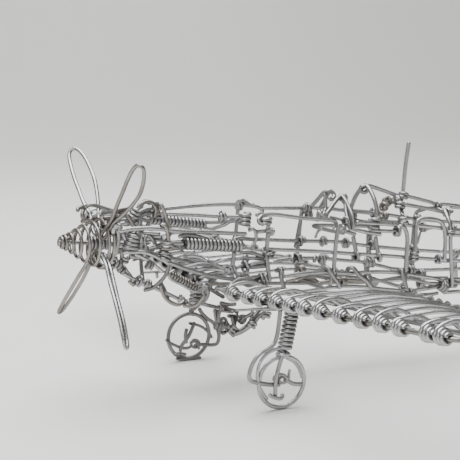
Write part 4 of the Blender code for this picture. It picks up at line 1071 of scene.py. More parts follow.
    def build_ties(self) -> None:
        """Wrap the joints of longerons and hoops, each at its own angle."""
        wide, slim = self.half_width, self.tail_half_width
        spots = ((3.8, wide, 67.5), (3.8, wide, 84.0), (39.6, wide, 67.4), (39.6, wide, 58.1),
                 (82.4, wide, 66.4), (82.4, wide, 57.4), (82.4, wide, 83.0),
                 (108.8, wide, 64.6), (108.8, wide, 53.8), (108.8, wide, 80.6),
                 (108.8, -wide, 79.0), (143.0, -slim, 64.0), (143.0, slim, 64.0),
                 (143.0, 0.0, 88.4), (143.0, -slim, 79.0), (143.0, slim, 80.0),
                 (143.0, -slim, 54.9), (143.0, slim, 56.1))
        turns = {4: 1.6, 14: 2.4}  # where it isn't 2, by number
        slants = {12: 0.1, 13: -0.1}  # where the wire runs inwards, by number
        for number, spot in enumerate(spots, start=1):
            self.bench.knot(f"frame_tie_{number:02d}", spot, (1, slants.get(number, 0), 0),
                            turns.get(number, 2.0), 1.95, phase=37 * number)


@dataclass
class Canopy:
    """Windscreen, canopy arch, cockpit rails, side window and mast."""

    bench: WireBench

    runs: tuple[Run, ...] = (
        Run("windscreen_far_wire", ((38.8, 14.4, 83.2), (40.1, 13.6, 85.1), (42.3, 12, 85.6),
            (46.4, 7.6, 93), (48, 6, 93.9), (50.3, 5, 92.3), (49.2, 3.6, 90.6), (47.2, 2.6, 89.8),
            (46.5, 3.4, 91)), radius=1.05, nodes=("windscreen_frame",)),
        Run("windscreen_post_wire", ((45.5, 6.4, 92.4), (46.3, 6, 89.2), (46.4, 5.4, 84.5),
            (43.2, 2, 82.1))),
        Run("windscreen_near_wire", ((33.7, -9, 84.2), (35.1, -10.6, 82.3), (36.4, -12, 84.3),
            (43, -8, 89.7), (46.8, -6, 92), (49.1, -6, 92.3), (49.4, -7, 91), (48.4, -10, 86.2),
            (48.1, -13.6, 80.9), (48.9, -15, 77.2)), radius=1.08),
        Run("windscreen_inner_wire", ((48.8, -4, 91.2), (50.8, -7, 87.4), (53.6, -9, 76.8))),
        Run("screen_base_wire", ((32.7, -10, 85.2), (33.9, -12, 83.5), (36, -13.4, 82.1),
            (38.7, -14.6, 81.4)), BRIGHT, radius=0.9),
        Run("screen_curl_wire", ((37.5, -8, 76.7), (36.3, -6, 74.9), (36.3, -4, 71.5)), radius=0.7),
        Run("arch_canopy_wire", ((65.7, 12.6, 81.1), (65.6, 12, 85), (65.4, 9.4, 90.4),
            (65, 5, 94.8), (64.7, 2, 96.7), (64.9, 0, 97.8), (65.2, -2, 97.1), (65.5, -5, 94.7),
            (65.7, -8, 91.4), (66, -10, 87.6), (65.9, -11.4, 84.1), (65.6, -12.4, 81.3),
            (65.2, -13, 79.4)), radius=1.12, nodes=("canopy_arch",)),
        Run("arch_cross_a", ((64.5, 10, 83.2), (64.4, 0, 84.6), (65.7, -9, 85.5)), radius=0.66),
        Run("arch_cross_b", ((65.6, 12, 79.6), (65.2, 4, 80), (63.5, -10, 80.7)), radius=0.7),
        Run("sill_upper_wire", ((59.9, -13, 82.4), (63.9, -13.6, 82.1), (71.9, -14, 81.7),
            (78.7, -14.4, 81.7), (81.7, -15.6, 82.1)), BRIGHT),
        Run("sill_lower_wire", ((60.3, -14, 77.1), (66.1, -14.6, 77.2), (71.7, -15, 77.2),
            (76.2, -15.4, 77.3)), BRIGHT, nodes=("cockpit_rail",)),
        Run("sill_front_wire", ((51, -11, 77.7), (52.6, -14, 77.2), (59.2, -14.6, 76.2),
            (66.7, -15, 75.4)), BRIGHT),
        Run("sill_front_low_wire", ((45.9, -13, 76.5), (48.7, -14, 75.9), (52.2, -15, 75))),
        Run("frame_link_wire", ((37.2, -14, 83), (44.7, -13, 81.6), (51.3, -12, 80)), radius=0.7),
        Run("ridge_front_wire", ((64.8, 1.6, 96.6), (66.1, 1, 97.8), (68.6, 0.6, 97.5),
            (76.4, 0, 95.6), (81.8, 0, 94.2), (86.8, 0, 93)), BRIGHT, radius=1.05,
            nodes=("spine",)),
        Run("ridge_rear_wire_top", ((87.9, 0, 93.9), (93.5, 0, 93.1), (101.1, 0, 91.8),
            (106.8, 0, 90.7), (109.5, 0, 89.3)), BRIGHT),
        Run("ridge_tail_wire", ((111, 3, 87.8), (111.1, 1, 90), (115.1, 0, 90.3), (124.1, 0, 89.7)),
            BRIGHT),
        Run("canopy_rail_wire", ((80.2, -6, 88.2), (81.6, -8, 89.7), (85.1, -9, 89.8),
            (95.2, -9, 88.8), (105, -9, 87.5), (110.5, -9, 86.5), (112.3, -8, 87.5)), BRIGHT,
            nodes=("canopy_rail",)),
        Run("canopy_post_wire", ((82.2, -7, 88.6), (82, -9, 85.9), (81.3, -12, 82.2)), BRIGHT,
            radius=1.05),
        Run("window_wire", ((86.7, -16.6, 62.6), (86.7, -16.6, 67.6), (86.2, -16.6, 74.5),
            (85.8, -16.6, 80.5), (86.9, -16.6, 83.3), (90, -16.6, 84.1), (96.1, -16.6, 84.1),
            (100.1, -16.6, 83.1), (102.6, -16.6, 80.5), (104.3, -16.6, 74.5), (105, -16.6, 64)),
            radius=1.12, nodes=("side_window",)),
        Run("window_far_wire", ((114.5, 14, 75.6), (118.3, 14, 76.6), (127.8, 14, 76.5),
            (136.6, 14, 75.9)), BRIGHT),
        Run("window_far_leg", ((111.1, 14, 74.1), (110.1, 14, 67.8)), radius=0.66),
        Run("mast_wire", ((87.8, 0, 92.5), (87.7, 0, 96.6), (87.6, 0, 108.7), (88.2, 0, 120.7)),
            BRIGHT, radius=1.1, nodes=("mast",)),
        Run("rear_hoop_near_wire", ((108.1, -8, 88.7), (106.9, -13, 85.2), (107, -16, 81.6),
            (107, -17, 78.2), (107.3, -17, 73.1), (109.5, -16.8, 62), (111.7, -16.6, 50.4)),
            radius=1.1),
    )
    ties: tuple[Tie, ...] = (
        Tie("screen_knot_far", (40.8, 13.6, 84.3), (1, 0, -0.2), 2, 1.9, phase=30),
        Tie("screen_knot_near", (35.1, -10.4, 83.2), (1, -0.4, -0.6), 2, 1.8, phase=60),
        Tie("screen_knot_top", (48.6, -6, 91.8), (0.8, 0.5, -0.3), 1.4, 1.5, phase=10),
        Tie("arch_knot", (64.9, 1, 96), (0.5, 1, 0.2), 1.8, 1.9, phase=300),
        Tie("arch_foot_wrap", (63.6, -13, 81.1), (0.1, 0, 1), 3.1, 2.3, phase=130, pitch=2.1),
        Tie("mast_knot", (87.9, 0, 93.3), (0.4, 0.1, 1), 1.8, 1.9, gauge=0.9, phase=30),
        Tie("mast_knot_side", (82.8, -2, 91.4), (1, 0.2, -0.3), 1.8, 1.8, phase=60),
        Tie("curl_knot_a", (75.8, -4, 90.8), (0.3, 1, 0.3), 1.4, 1.9, gauge=0.9, finish=WARM),
        Tie("curl_knot_b", (73.6, -5, 88.3), (1, 0.3, 0.2), 1.6, 1.7, phase=90, finish=WARM),
        Tie("curl_knot_c", (71.8, -9, 84), (1, 0.2, -0.3), 1.7, 1.5, gauge=0.8, phase=30,
            finish=WARM),
        Tie("rail_knot_front", (81, -8, 89.2), (0.3, 0.2, 1), 1.4, 2.1, phase=160),
        Tie("rail_knot_rear", (110.2, -8.4, 87), (1, 0, -0.1), 2, 1.7, phase=80),
        Tie("ridge_knot_rear", (109.9, 0, 89.3), (1, 0, 0), 1.3, 1.7, phase=60),
        Tie("sill_knot_rear", (79.2, -14.6, 83.2), (0.1, 0, 1), 1.7, 2.2, phase=200, pitch=2.4),
        Tie("sill_knot_low", (75.9, -15.4, 77.5), (1, 0, 0), 1.8, 2.1, phase=100),
        Tie("window_far_knot", (112.5, 14, 76.6), (1, 0, 0), 1.6, 1.9, phase=60, finish=WARM),
        Tie("frame_knot_a", (46.6, -13.4, 81.3), (1, 0.3, 0), 1.3, 1.6, gauge=0.8, phase=60),
        Tie("frame_knot_b", (44.4, -14, 77.2), (1, 0.3, 0), 1.3, 1.6, gauge=0.8, phase=60),
        Tie("frame_knot_c", (64.5, 8, 81.9), (1, 0.1, 0), 1.4, 1.6, gauge=0.8, phase=60),
    )

    def build(self) -> None:
        """Bend every wire around the cockpit."""
        self.bench.lay(self.runs)
        self.bench.bind(self.ties)
        for side in Side:
            s = side.value
            quarter = [(49.4, s * 16.4, 77.2), (49.2, s * 16.0, 82.4), (48.8, s * 11.0, 88.4),
                       (48.0, s * 6.8, 92.2), (47.4, s * 5.2, 93.0)]
            self.bench.tube(f"quarter_{side.label}_wire", quarter, bend=Bend.FLOWING,
                            nodes=[f"quarter_frame_{side.label}"])
        rail = [(84.0, -9.0, 90.0), (82.4, -6.0, 90.6), (82.4, 7.0, 90.6), (84.2, 9.0, 90.0),
                (108.0, 8.4, 87.2)]
        self.bench.tube("canopy_rail_far", rail, bend=Bend.CORNERED)
        sill = [(46.0, -14.0, 75.4), (44.6, 0.0, 75.2), (46.0, 14.0, 75.4), (80.6, 15.2, 76.0)]
        self.bench.tube("cockpit_rail_far", sill, bend=Bend.FLOWING)


@dataclass
class Wing:
    """One wing: its frame, the rib wires wrapped to the leading edge, and the root braces.

    front gives a rib's profile behind the leading edge in millimetres, along and up, and rear
    goes on from it in shares of the chord and millimetres up. A rib's wrap starts lead_in turns
    outside the rib and ends lead_out turns inside it, and widens from tight_radius to
    wrap_radius. wrap_pitch is the rise of a turn in radii of its wire.
    """

    bench: WireBench
    side: Side
    root: float = 13.8
    half_span: float = 180.0
    leading_x: float = -14.3
    leading_z: float = 45.3
    sweep: float = 1.5
    dihedral: float = 4.36
    plane_rise: float = 0.02
    root_chord: float = 98.0
    tip_chord: float = 38.0
    rib_wire: float = WIRE * 0.87
    wrap_pitch: float = 2.06
    wrap_turns: float = 2.94
    lead_in: float = 1.2
    lead_out: float = 1.4
    tight_radius: float = 1.68
    wrap_radius: float = 3.0
    front: Outline = ((0.6, 4.3), (4.0, 5.1), (8.2, 5.2), (12.6, 3.9), (16.4, 1.9))
    rear: Outline = ((0.34, 0.7), (0.46, 1.5), (0.62, 2.7), (0.74, 2.6), (0.87, 1.6), (0.975, 0.9))
    middle_spar: float = 0.3
    spar_offset: float = 13.5
    stations: tuple[float, ...] = (21.0, 34.5, 46.0, 58.5, 70.0, 81.0, 93.5, 108.0, 122.5, 135.5,
                                   147.5, 164.5, 172.6)

    def point(self, span: float, share: float, rise: float = 0.0) -> Vector:
        """Point of the wing.

        Args:
            span: distance from the centre line.
            share: share of the chord from the leading edge.
            rise: height above the wing's plane.

        Returns:
            The level point in millimetres.
        """
        out = (span - self.root) / (self.half_span - self.root)
        chord = self.root_chord + (self.tip_chord - self.root_chord) * out
        x = (self.leading_x + math.tan(math.radians(self.sweep)) * (span - self.root)
             + chord * share)
        z = (self.leading_z + math.tan(math.radians(self.dihedral)) * (span - self.root)
             + self.plane_rise * chord * share)
        return Vector((x, self.side.value * span, z + rise))

    def build(self) -> None:
        """Bend the wing's frame and wrap its ribs on."""
        label, tip = self.side.label, self.half_span
        edge = [self.point(span, 0.0) for span in (self.root, 60, 110, 150, 176)]
        edge += [self.point(tip - 0.8, 0.18), self.point(tip, 0.5), self.point(tip - 1.2, 0.84),
                 self.point(tip - 5.0, 1.0), self.point(self.root, 1.0)]
        self.bench.tube(f"wing_{label}_wire", edge, bend=Bend.CORNERED, closed=True, corner=6.0,
                        finish=WARM, nodes=[f"wing_frame_{label}"])
        for number, span in enumerate(self.stations, start=1):
            self.build_rib(number, span)
        if self.side is Side.PORT:
            self.build_spar()
        middle = [self.point(span, self.middle_spar, 0.6)
                  for span in (self.root, 60, 110, 150, 176)]
        self.bench.tube(f"middle_spar_{label}", middle, bend=Bend.FLOWING)
        self.build_root()

    def build_spar(self) -> None:
        """Bend the spar that runs under both wings from tip to tip."""
        path = []
        for span in (-174.0, -100.0, -13.8, 13.8, 100.0, 174.0):
            place = self.point(abs(span), 0.0, -1.7)
            path.append((place.x + self.spar_offset, span, place.z))
        self.bench.tube("spar_wire", path, bend=Bend.CORNERED, nodes=["wing_spar"])

    def build_rib(self, number: int, span: float) -> None:
        """Bend one rib: wrapped round the leading edge, over the wing and hooked on behind.

        Args:
            number: which rib, from the root.
            span: its distance from the centre line.
        """
        label, sign = self.side.label, self.side.value
        lead, rear = self.point(span, 0.0), self.point(span, 1.0)
        along = (self.point(span + 1, 0.0) - lead).normalized()
        start = lead + along * (self.rib_wire * self.wrap_pitch * self.lead_in)
        end = lead - along * (self.rib_wire * self.wrap_pitch * self.lead_out)
        wraps = coil(start, end, 1.0, -self.wrap_turns * sign, phase=70 * sign)
        path = []
        for index, point in enumerate(wraps):
            share = index / (len(wraps) - 1)
            middle = start.lerp(end, share)
            growth = (self.wrap_radius - self.tight_radius) * share
            path.append(middle + (point - middle) * (self.tight_radius + growth)
                        + Vector((0.0, 0.0, 0.7 * growth)))
        y = end.y
        over = [(lead.x - 2.2, y, lead.z + 2.9)]
        over += self.rib_profile(number, lead, rear, y)
        path += flowing([tuple(path[-1])] + over, step=1.8)[1:]
        path += coil((rear.x, y, rear.z), (rear.x, y + sign * 1.9, rear.z), 1.75, 0.86 * sign,
                     phase=-14 * sign)[1:]
        nodes = [f"wing_ribs_{label}"] if number == 1 else []
        self.bench.tube(f"rib_{label}_{number:02d}", path, radius=self.rib_wire, finish=BRIGHT,
                        nodes=nodes)

    def rib_profile(self, number: int, lead: Vector, rear: Vector, y: float) -> list[Point]:
        """Points of a rib over the wing, each rib swelling and straying a little differently.

        Args:
            number: which rib, from the root.
            lead: its place on the leading edge.
            rear: its place on the trailing edge.
            y: where the rib leaves its wrap.

        Returns:
            The rib's points, from front to rear.
        """
        length = rear.x - lead.x
        swell = 1.0 + 0.12 * math.sin(number * 2.1)
        stretch = 0.62 + 0.63 * length / self.root_chord
        profile = [(along * stretch / length, height) for along, height in self.front]
        profile += [place for place in self.rear if place[0] > profile[-1][0] + 0.04]
        points = []
        for share, height in profile:
            drift = self.side.value * 0.8 * math.sin(number * 1.7 + share * 5.0)
            points.append((lead.x + share * length, y + drift * share * 2.0,
                           lead.z + (rear.z - lead.z) * share + height * swell))
        return points

    def build_root(self) -> None:
        """Bend the root tie, the rear tie and, where the photograph shows none, the braces."""
        s, label = self.side.value, self.side.label
        tie = [(-14.6, s * 19.0, 46.4), (-15.4, s * 17.6, 49.2), (-12.0, s * 16.6, 52.0),
               (-4.0, s * 16.0, 53.6), (2.6, s * 15.8, 54.0)]
        self.bench.tube(f"root_tie_{label}", tie, bend=Bend.FLOWING)
        if self.side is Side.STARBOARD:
            self.build_braces()
        rear = [(86.2, s * 14.4, 47.4), (95.0, s * 15.0, 48.8), (107.0, s * 15.4, 50.8)]
        self.bench.tube(f"rear_tie_{label}", rear, bend=Bend.FLOWING)
        self.bench.knot(f"rear_knot_{label}", (84.6, s * 15.4, 47.2), (1, 0.4 * s, 0), 3.5, 1.8)

    def build_braces(self) -> None:
        """Bend the braces that hook over the lower longeron and reach down to the wing."""
        label = self.side.label
        braces = ((10.4, 13.6, 57.5), (37.4, 42.6, 57.9), (50.2, 61.4, 57.9), (80.8, 83.0, 57.9))
        for number, (head, foot, top) in enumerate(braces, start=1):
            path = [(head - 2.0, 14.0, top - 1.0), (head - 1.2, 15.0, top + 1.5),
                    (head + 0.8, 16.6, top + 0.9), (head + (foot - head) * 0.55, 18.0, top - 3.2),
                    (foot, 19.0, 49.8), (foot + 0.6, 19.0, 47.0)]
            nodes = [f"wing_brace_{label}"] if number == 1 else []
            self.bench.tube(f"brace_{label}_{number}", path, bend=Bend.FLOWING, nodes=nodes)


@dataclass
class Undercarriage:
    """Main legs, wheels, gun barrels, belly scoop and tail wheel."""

    bench: WireBench
    half_track: float = 49.7
    wheel_radius: float = 12.5
    gun_y: float = 50.6
    tail_x: float = 148.0
    tail_wheel_radius: float = 6.5
    tail_wire: float = 0.7

    legs: tuple[Run, ...] = (
        Run("rim_port_trace", ((-1.5, -50.1, 27.7), (-6.2, -50.4, 27.5), (-10.3, -50.7, 26.2),
            (-13.4, -50.7, 23.7), (-15.3, -50.7, 20), (-15.5, -50.6, 14.9), (-13.9, -50.5, 10.3),
            (-10.6, -50.3, 6.1), (-9.1, -50.1, 4.8)), BRIGHT, radius=0.8),
        Run("rim_port_overlap", ((-0.3, -48.9, 22.9), (3.9, -48.6, 20.9), (6.9, -48.7, 17.5),
            (8.5, -49.1, 13.7)), BRIGHT, radius=0.8),
        Run("fork_port", ((-6.2, -49.3, 45.1), (-6.8, -49.6, 34.1), (-8, -49.9, 29.9),
            (-11.2, -50.4, 27.4), (-15.5, -50.8, 25.3), (-18.8, -51, 20.7), (-19.9, -51.1, 15.4),
            (-18.8, -50.9, 13.5), (-15.3, -50.5, 12.5), (-9.2, -50.1, 11.4), (-3.1, -49.7, 11.2)),
            nodes=("leg_fork_port",)),
        Run("spoke_port", ((-0.9, -49.1, 13.4), (1.5, -49.2, 12.2), (4.5, -49.4, 11.1),
            (8.1, -49.7, 11)), BRIGHT),
        Run("strut_port", ((-3.1, -50.5, 26), (-4.5, -50.9, 22.5), (-5.8, -51.3, 17.8),
            (-6.3, -51.2, 12.3), (-5.9, -51.1, 6.4))),
        Run("foot_port", ((-9.5, -51.5, 7.3), (-7.6, -52.3, 6.3), (-4.4, -52.5, 5.4),
            (-2.4, -51.7, 5.9), (-2.5, -51.1, 7.3)), BRIGHT, radius=0.86),
        Run("hub_port", ((-6.3, -49.3, 12.9), (-6.3, -49.8, 14.7), (-4.4, -50.3, 15.8),
            (-1.9, -51, 15.5), (-0.6, -51.3, 13.9), (-1.6, -51.3, 12.4), (-3.5, -50.8, 12.2),
            (-4.3, -50.2, 13.5), (-2.6, -49.5, 14.6), (0, -49.1, 14.1), (1.4, -49.1, 13),
            (1.2, -49.4, 15.3), (1.2, -49.7, 17.8)), radius=0.7),
        # The starboard wheel and leg below are dark wire: painted shade on the far side.
        Run("rim_starboard_inner", ((-0.3, 50.5, 19.1), (6.7, 50.6, 17.3), (11.1, 50.6, 14.5),
            (13.7, 50.7, 11.2)), DARK, radius=0.8),
        Run("rim_starboard_low", ((-2.7, 48.8, 0.6), (2.8, 48.7, 1.1), (7.3, 48.6, 1.5)), DARK,
            radius=0.8),
        Run("fork_starboard", ((3.1, 49.3, 7.6), (6.5, 49.3, 8.1), (13.3, 49.2, 7.9),
            (16.2, 49.2, 8.6), (16.9, 49.1, 11), (16.4, 49.2, 14.6), (13.5, 49.3, 19),
            (9, 49.4, 21.9), (5.6, 49.6, 25), (4.3, 49.7, 27)), DARK,
            nodes=("leg_fork_starboard",)),
        Run("strut_starboard", ((1.9, 48.7, 20), (0.9, 48.3, 17.5), (-1, 47.9, 13.1),
            (-4.5, 48.1, 7.9), (-5.1, 48.3, 4.8)), DARK, radius=0.95),
        Run("prop_starboard", ((-2.3, 48.5, 16.7), (-2.8, 48.3, 13.1), (-2, 48.1, 9.1)), DARK),
        Run("spoke_starboard", ((-13.2, 49.1, 10.9), (-11, 49.1, 9.4), (-7.5, 49.2, 7.8),
            (-3.1, 49.2, 6.4), (-0.2, 49.3, 6.5), (1.4, 49.3, 7.4)), DARK, radius=0.8),
        Run("hub_starboard", ((0.3, 48.1, 8.7), (1.9, 48.6, 10.6), (5.1, 49.2, 10.1),
            (6.2, 49.4, 8), (4.5, 49.6, 6.5), (2.1, 49.5, 7.2), (1.4, 49, 9.2), (3.3, 48.6, 9.9),
            (4.7, 48.1, 8.4), (5.3, 47.7, 5.9)), DARK, radius=0.72),
        Run("foot_starboard", ((-8.6, 48.3, 3.3), (-5.1, 48.1, 3.8), (-1.7, 47.9, 3.3)), DARK,
            radius=0.86),
        Run("foot_starboard_low", ((-6.8, 48.7, 1.2), (-4, 48.6, 0.6), (-1, 48.5, 1)), DARK,
            radius=0.7),
        Run("spring_knob_starboard", ((2.1, 48.7, 27), (-0.9, 48.4, 26.6), (-1.1, 48, 24.5),
            (1.1, 47.7, 24.1)), DARK),
    )
    # The scoop is mostly dark wire: painted shade under the belly.
    scoop: tuple[Run, ...] = (
        Run("scoop_drop", ((-14.3, -3, 36.4), (-14.1, -3.5, 34.4), (-12.8, -4, 28.9)), DARK),
        Run("scoop_link_a", ((-10.3, -3, 28.7), (-7.6, -3, 28.1), (-4.4, -3, 26.1)), DARK,
            nodes=("belly_scoop",)),
        Run("scoop_u_wire", ((-6.6, -3, 28.7), (-5, -3.6, 25.7), (-3.7, -4.4, 24.7),
            (-2.3, -5.6, 25.1), (0.5, -6.8, 27), (3, -8, 29.3))),
        Run("scoop_u_far", ((-4.6, 3, 29), (-1.4, 2.2, 25.2), (2.4, 3, 24.3), (7.2, 4.2, 26.6),
            (10.7, 5, 28.7)), DARK),
        Run("scoop_inner_a", ((-4.4, -2, 32.8), (-3.8, -2.5, 30.1), (-2.7, -3, 26.8)), DARK,
            radius=0.92),
        Run("scoop_inner_b", ((-6, -1, 32.7), (-1.6, 0.5, 32.2), (3.3, 2, 31.3)), DARK),
        Run("scoop_inner_c", ((0.1, -4, 31.6), (1.7, -6, 33.5), (4, -8, 35.7)), DARK),
        Run("scoop_rear_wire", ((3.9, -7, 29.5), (5.3, -8.3, 31.9), (6.4, -9.7, 34.6),
            (8.7, -11, 36.5)), DARK),
        Run("scoop_rear_far", ((10.2, 6, 28.3), (14.2, 8, 31.9), (18.4, 10, 34.5)), DARK),
        Run("scoop_hanger_a", ((-12.3, -6, 38.2), (-13.5, -6, 34.6), (-13.1, -6, 30.3)), DARK,
            radius=0.8),
        Run("scoop_hanger_b", ((0.7, 2, 35.5), (-1, 0, 31.5), (-2.5, -2, 28)), DARK, radius=0.8),
        Run("scoop_hanger_c", ((4.2, -6, 37), (3.5, -7, 33.3), (3.6, -8, 30.2)), DARK, radius=0.8),
        Run("scoop_cross_top", ((-8.9, 8, 33.2), (-8.3, 0, 34.9), (-7.3, -8, 35.9)), DARK,
            radius=0.8),
    )
    scoop_ties: tuple[Tie, ...] = (
        Tie("scoop_wrap_front", (-11.9, -4, 28.9), (1, 0, -0.2), 2.7, 1.9, gauge=0.8, phase=30,
            finish=DARK),
        Tie("scoop_ball_a", (-8.9, -2, 30.3), (0.4, 1, 0.2), 1.5, 1.5, gauge=0.8, phase=60,
            finish=DARK),
        Tie("scoop_ball_b", (-8.3, -2, 26.1), (0.6, 0.4, 0.2), 1.3, 1.5, gauge=0.8, phase=100,
            finish=DARK),
        Tie("scoop_ball_wrap", (-4, -3, 26.1), (0.7, 0, 0.8), 2.4, 2, phase=60),
        Tie("scoop_knot_mid", (0.6, -3, 31.6), (1, 0.3, -0.6), 1.8, 1.7, phase=20, finish=DARK),
        Tie("scoop_knot_rear", (3.7, -7.6, 29.9), (0.6, 0.1, 1), 2.2, 1.7, phase=120),
        Tie("scoop_knot_end", (9.4, -10, 34.6), (0.4, 0.2, 1), 1.8, 1.7, phase=60),
    )

    def build(self) -> None:
        """Bend every wire under the wings and the belly."""
        self.bench.lay(self.legs)
        self.build_port_leg()
        self.build_starboard_leg()
        for side in Side:
            self.build_gun(side)
        self.bench.lay(self.scoop)
        self.bench.bind(self.scoop_ties)
        self.build_tail_leg()

    def rim(self, x: float, y: float, radius: float, wire: float = WIRE) -> list[Point]:
        """Points of the rim of a wheel that stands on the ground."""
        return circle((x, y, axle_z(x, radius)), radius - wire, 48, across=0)

    def build_port_leg(self) -> None:
        """Bend the port wheel's rim and the spring of its leg, and wind the collar under it."""
        y = -self.half_track
        self.bench.tube("rim_port", self.rim(-2.4, y, self.wheel_radius), closed=True,
                        finish=BRIGHT, nodes=["wheel_port"])
        spring = [(1.6, y, 45.0)]
        spring += coil((-0.4, y, 43.8), (-2.4, y, 27.4), 2.55, 8.6, up=(1, 0, 0), steps=18)
        spring += [(-2.8, y - 0.4, 25.6), (-3.8, y - 0.6, 23.0)]
        self.bench.tube("spring_port", spring, radius=COIL_WIRE, nodes=["leg_spring_port"])
        self.bench.knot("collar_port", (-3.0, y, 25.0), (0.1, 0, 1), 1.4, 2.5, finish=BRIGHT)

    def build_starboard_leg(self) -> None:
        """Bend the starboard wheel's rim and the spring of its leg."""
        y = self.half_track
        # The rim and the spring are dark wire: painted shade on the far side.
        self.bench.tube("rim_starboard", self.rim(-0.2, y, self.wheel_radius), closed=True,
                        finish=DARK, nodes=["wheel_starboard"])
        spring = [(3.6, y, 45.0)]
        spring += coil((2.4, y, 43.6), (1.6, y, 28.6), 2.5, 8.0, up=(1, 0, 0), steps=18)
        spring += [(0.8, y - 0.4, 26.4), (0.2, y - 0.4, 24.0)]
        self.bench.tube("spring_starboard", spring, radius=COIL_WIRE, finish=DARK,
                        nodes=["leg_spring_starboard"])

    def build_gun(self, side: Side) -> None:
        """Bend a gun barrel: a thin wire, the thick sleeve round it and the knot behind.

        Args:
            side: which wing it is on.
        """
        y, label = side.value * self.gun_y, side.label
        self.bench.tube(f"gun_{label}", [(-28.8, y, 44.9), (-16.0, y, 45.5), (1.6, y, 46.0)],
                        radius=0.8, nodes=[f"gun_barrel_{label}"])
        self.bench.tube(f"gun_sleeve_{label}", [(-16.3, y, 45.5), (-2.2, y, 46.0)], radius=1.28)
        self.bench.knot(f"gun_knot_{label}", (-0.6, y, 46.2), (0.6, side.value, 0.2), 2.4, 1.9)

    def build_tail_leg(self) -> None:
        """Bend the tail wheel, its spokes and axle, and the fork of its leg."""
        x, z = self.tail_x, axle_z(self.tail_x, self.tail_wheel_radius)
        self.bench.tube("tail_rim", self.rim(x, 0.0, self.tail_wheel_radius, self.tail_wire),
                        closed=True, radius=self.tail_wire, nodes=["tail_wheel"])
        middle = Vector((x, 0.0, z))
        for number, angle in enumerate((20, 80, 140), start=1):
            turn = math.radians(angle)
            swing = Vector((math.cos(turn), 0.0, math.sin(turn))) * 5.6
            self.bench.tube(f"tail_spoke_{number}", [middle - swing, middle + swing], radius=0.5)
        leg = [(x + 0.6, -2.2, z - 2.2), (x, -2.6, z), (146.0, -2.8, z + 8.0),
               (143.4, -2.4, 51.4), (143.2, 0.0, 52.0)]
        leg += [(aft, -out, up) for aft, out, up in reversed(leg[:-1])]
        self.bench.tube("tail_fork", leg, bend=Bend.FLOWING, nodes=["tail_leg"])
        self.bench.tube("tail_axle", [(x, -3.4, z), (x, 3.4, z)], radius=self.tail_wire)
        self.bench.knot("tail_tie", (143.0, 0.0, 52.8), (0, 1, 0), 4.0, 1.8)


@dataclass
class Tail:
    """Fin, rudder and tailplane, which the photograph's edge cuts off.

    fin and rudder are outlines in the middle plane, aft and up. tailplane is the starboard half
    of its outline, aft and out, which the port half mirrors.
    """

    bench: WireBench
    half_span: float = 62.0
    plane_x: float = 163.0
    plane_z: float = 82.4
    plane_rear: float = 195.5
    rib_count: int = 8
    rib_gap: float = 15.14
    first_rib: float = 53.0
    fin: Outline = ((153.0, 88.6), (158.0, 88.6), (170.0, 101.0), (180.0, 112.2), (186.0, 117.0),
                    (193.6, 117.2), (197.4, 113.6), (197.5, 100.0), (197.5, 62.2))
    rudder: Outline = ((199.5, 114.2), (205.4, 112.2), (211.4, 97.4), (213.3, 81.4),
                       (209.5, 65.2), (199.5, 62.2))
    tailplane: Outline = ((163.0, 0.0), (175.0, 58.0), (180.0, 61.8), (191.0, 61.8),
                          (195.0, 57.0), (195.5, 6.0))

    def build(self) -> None:
        """Bend every wire of the tail."""
        self.build_fin()
        self.build_tailplane()

    def build_fin(self) -> None:
        """Bend the fin and the rudder, tie them together and add their ribs."""
        tube = self.bench.tube
        tube("fin_wire", [(x, 0.0, z) for x, z in self.fin], bend=Bend.CORNERED, corner=5.0,
             nodes=["fin"])
        tube("rudder_wire", [(x, 0.0, z) for x, z in self.rudder], bend=Bend.CORNERED,
             closed=True, corner=4.0, nodes=["rudder"])
        for number, z in enumerate((70.0, 90.0, 108.0), start=1):
            self.bench.knot(f"hinge_tie_{number}", (198.5, 0.0, z), (0, 0, 1), 3.0, 2.3)
        fin_ribs = ((172.0, 88.0, 102.4), (184.0, 84.6, 115.2))
        for number, (x, low, high) in enumerate(fin_ribs, start=1):
            tube(f"fin_rib_{number}", [(x, 0.0, low), (x + 0.6, 0.0, high)], radius=RIB_WIRE)
        rudder_ribs = ((74.0, 212.2), (84.0, 212.8), (98.0, 210.8))
        for number, (z, rear) in enumerate(rudder_ribs, start=1):
            tube(f"rudder_rib_{number}", [(199.6, 1.2, z), (rear, 0.8, z + 1.0)], radius=RIB_WIRE)

    def build_tailplane(self) -> None:
        """Bend the tailplane's frame, and its ribs from port to starboard."""
        level = self.plane_z
        ring = [(x, y, level) for x, y in self.tailplane]
        ring += [(x, -y, level) for x, y in reversed(self.tailplane[1:])]
        self.bench.tube("tailplane_wire", ring, bend=Bend.CORNERED, closed=True, corner=4.0,
                        nodes=["tailplane_frame"])
        for number in range(self.rib_count):
            y = number * self.rib_gap - self.first_rib
            out = abs(y) / self.half_span
            nose, rear = self.plane_x + 13.0 * out, self.plane_rear - 0.6 * out
            path = coil((nose, y - 1.6, level), (nose, y + 1.6, level), 1.5, -2.2, phase=150)[:-2]
            over = [tuple(path[-1]), (nose + 1.0, y + 1.6, level + 2.6),
                    ((nose + rear) / 2, y + 0.8, level + 3.4), (rear - 1.6, y, level + 1.6)]
            path += flowing(over, step=2.2)[1:]
            path += coil((rear, y, level), (rear, y - 1.6, level), 1.5, 1.2, phase=-30)[1:]
            nodes = ["tailplane_ribs"] if number == 0 else []
            self.bench.tube(f"tailplane_rib_{number + 1}", path, radius=RIB_WIRE, nodes=nodes)


@dataclass(frozen=True)
class Softbox:
    """One rectangular area light: its place and aim in metres, its width and its watts."""

    name: str
    place: Point
    aim: Point
    size: float
    power: float


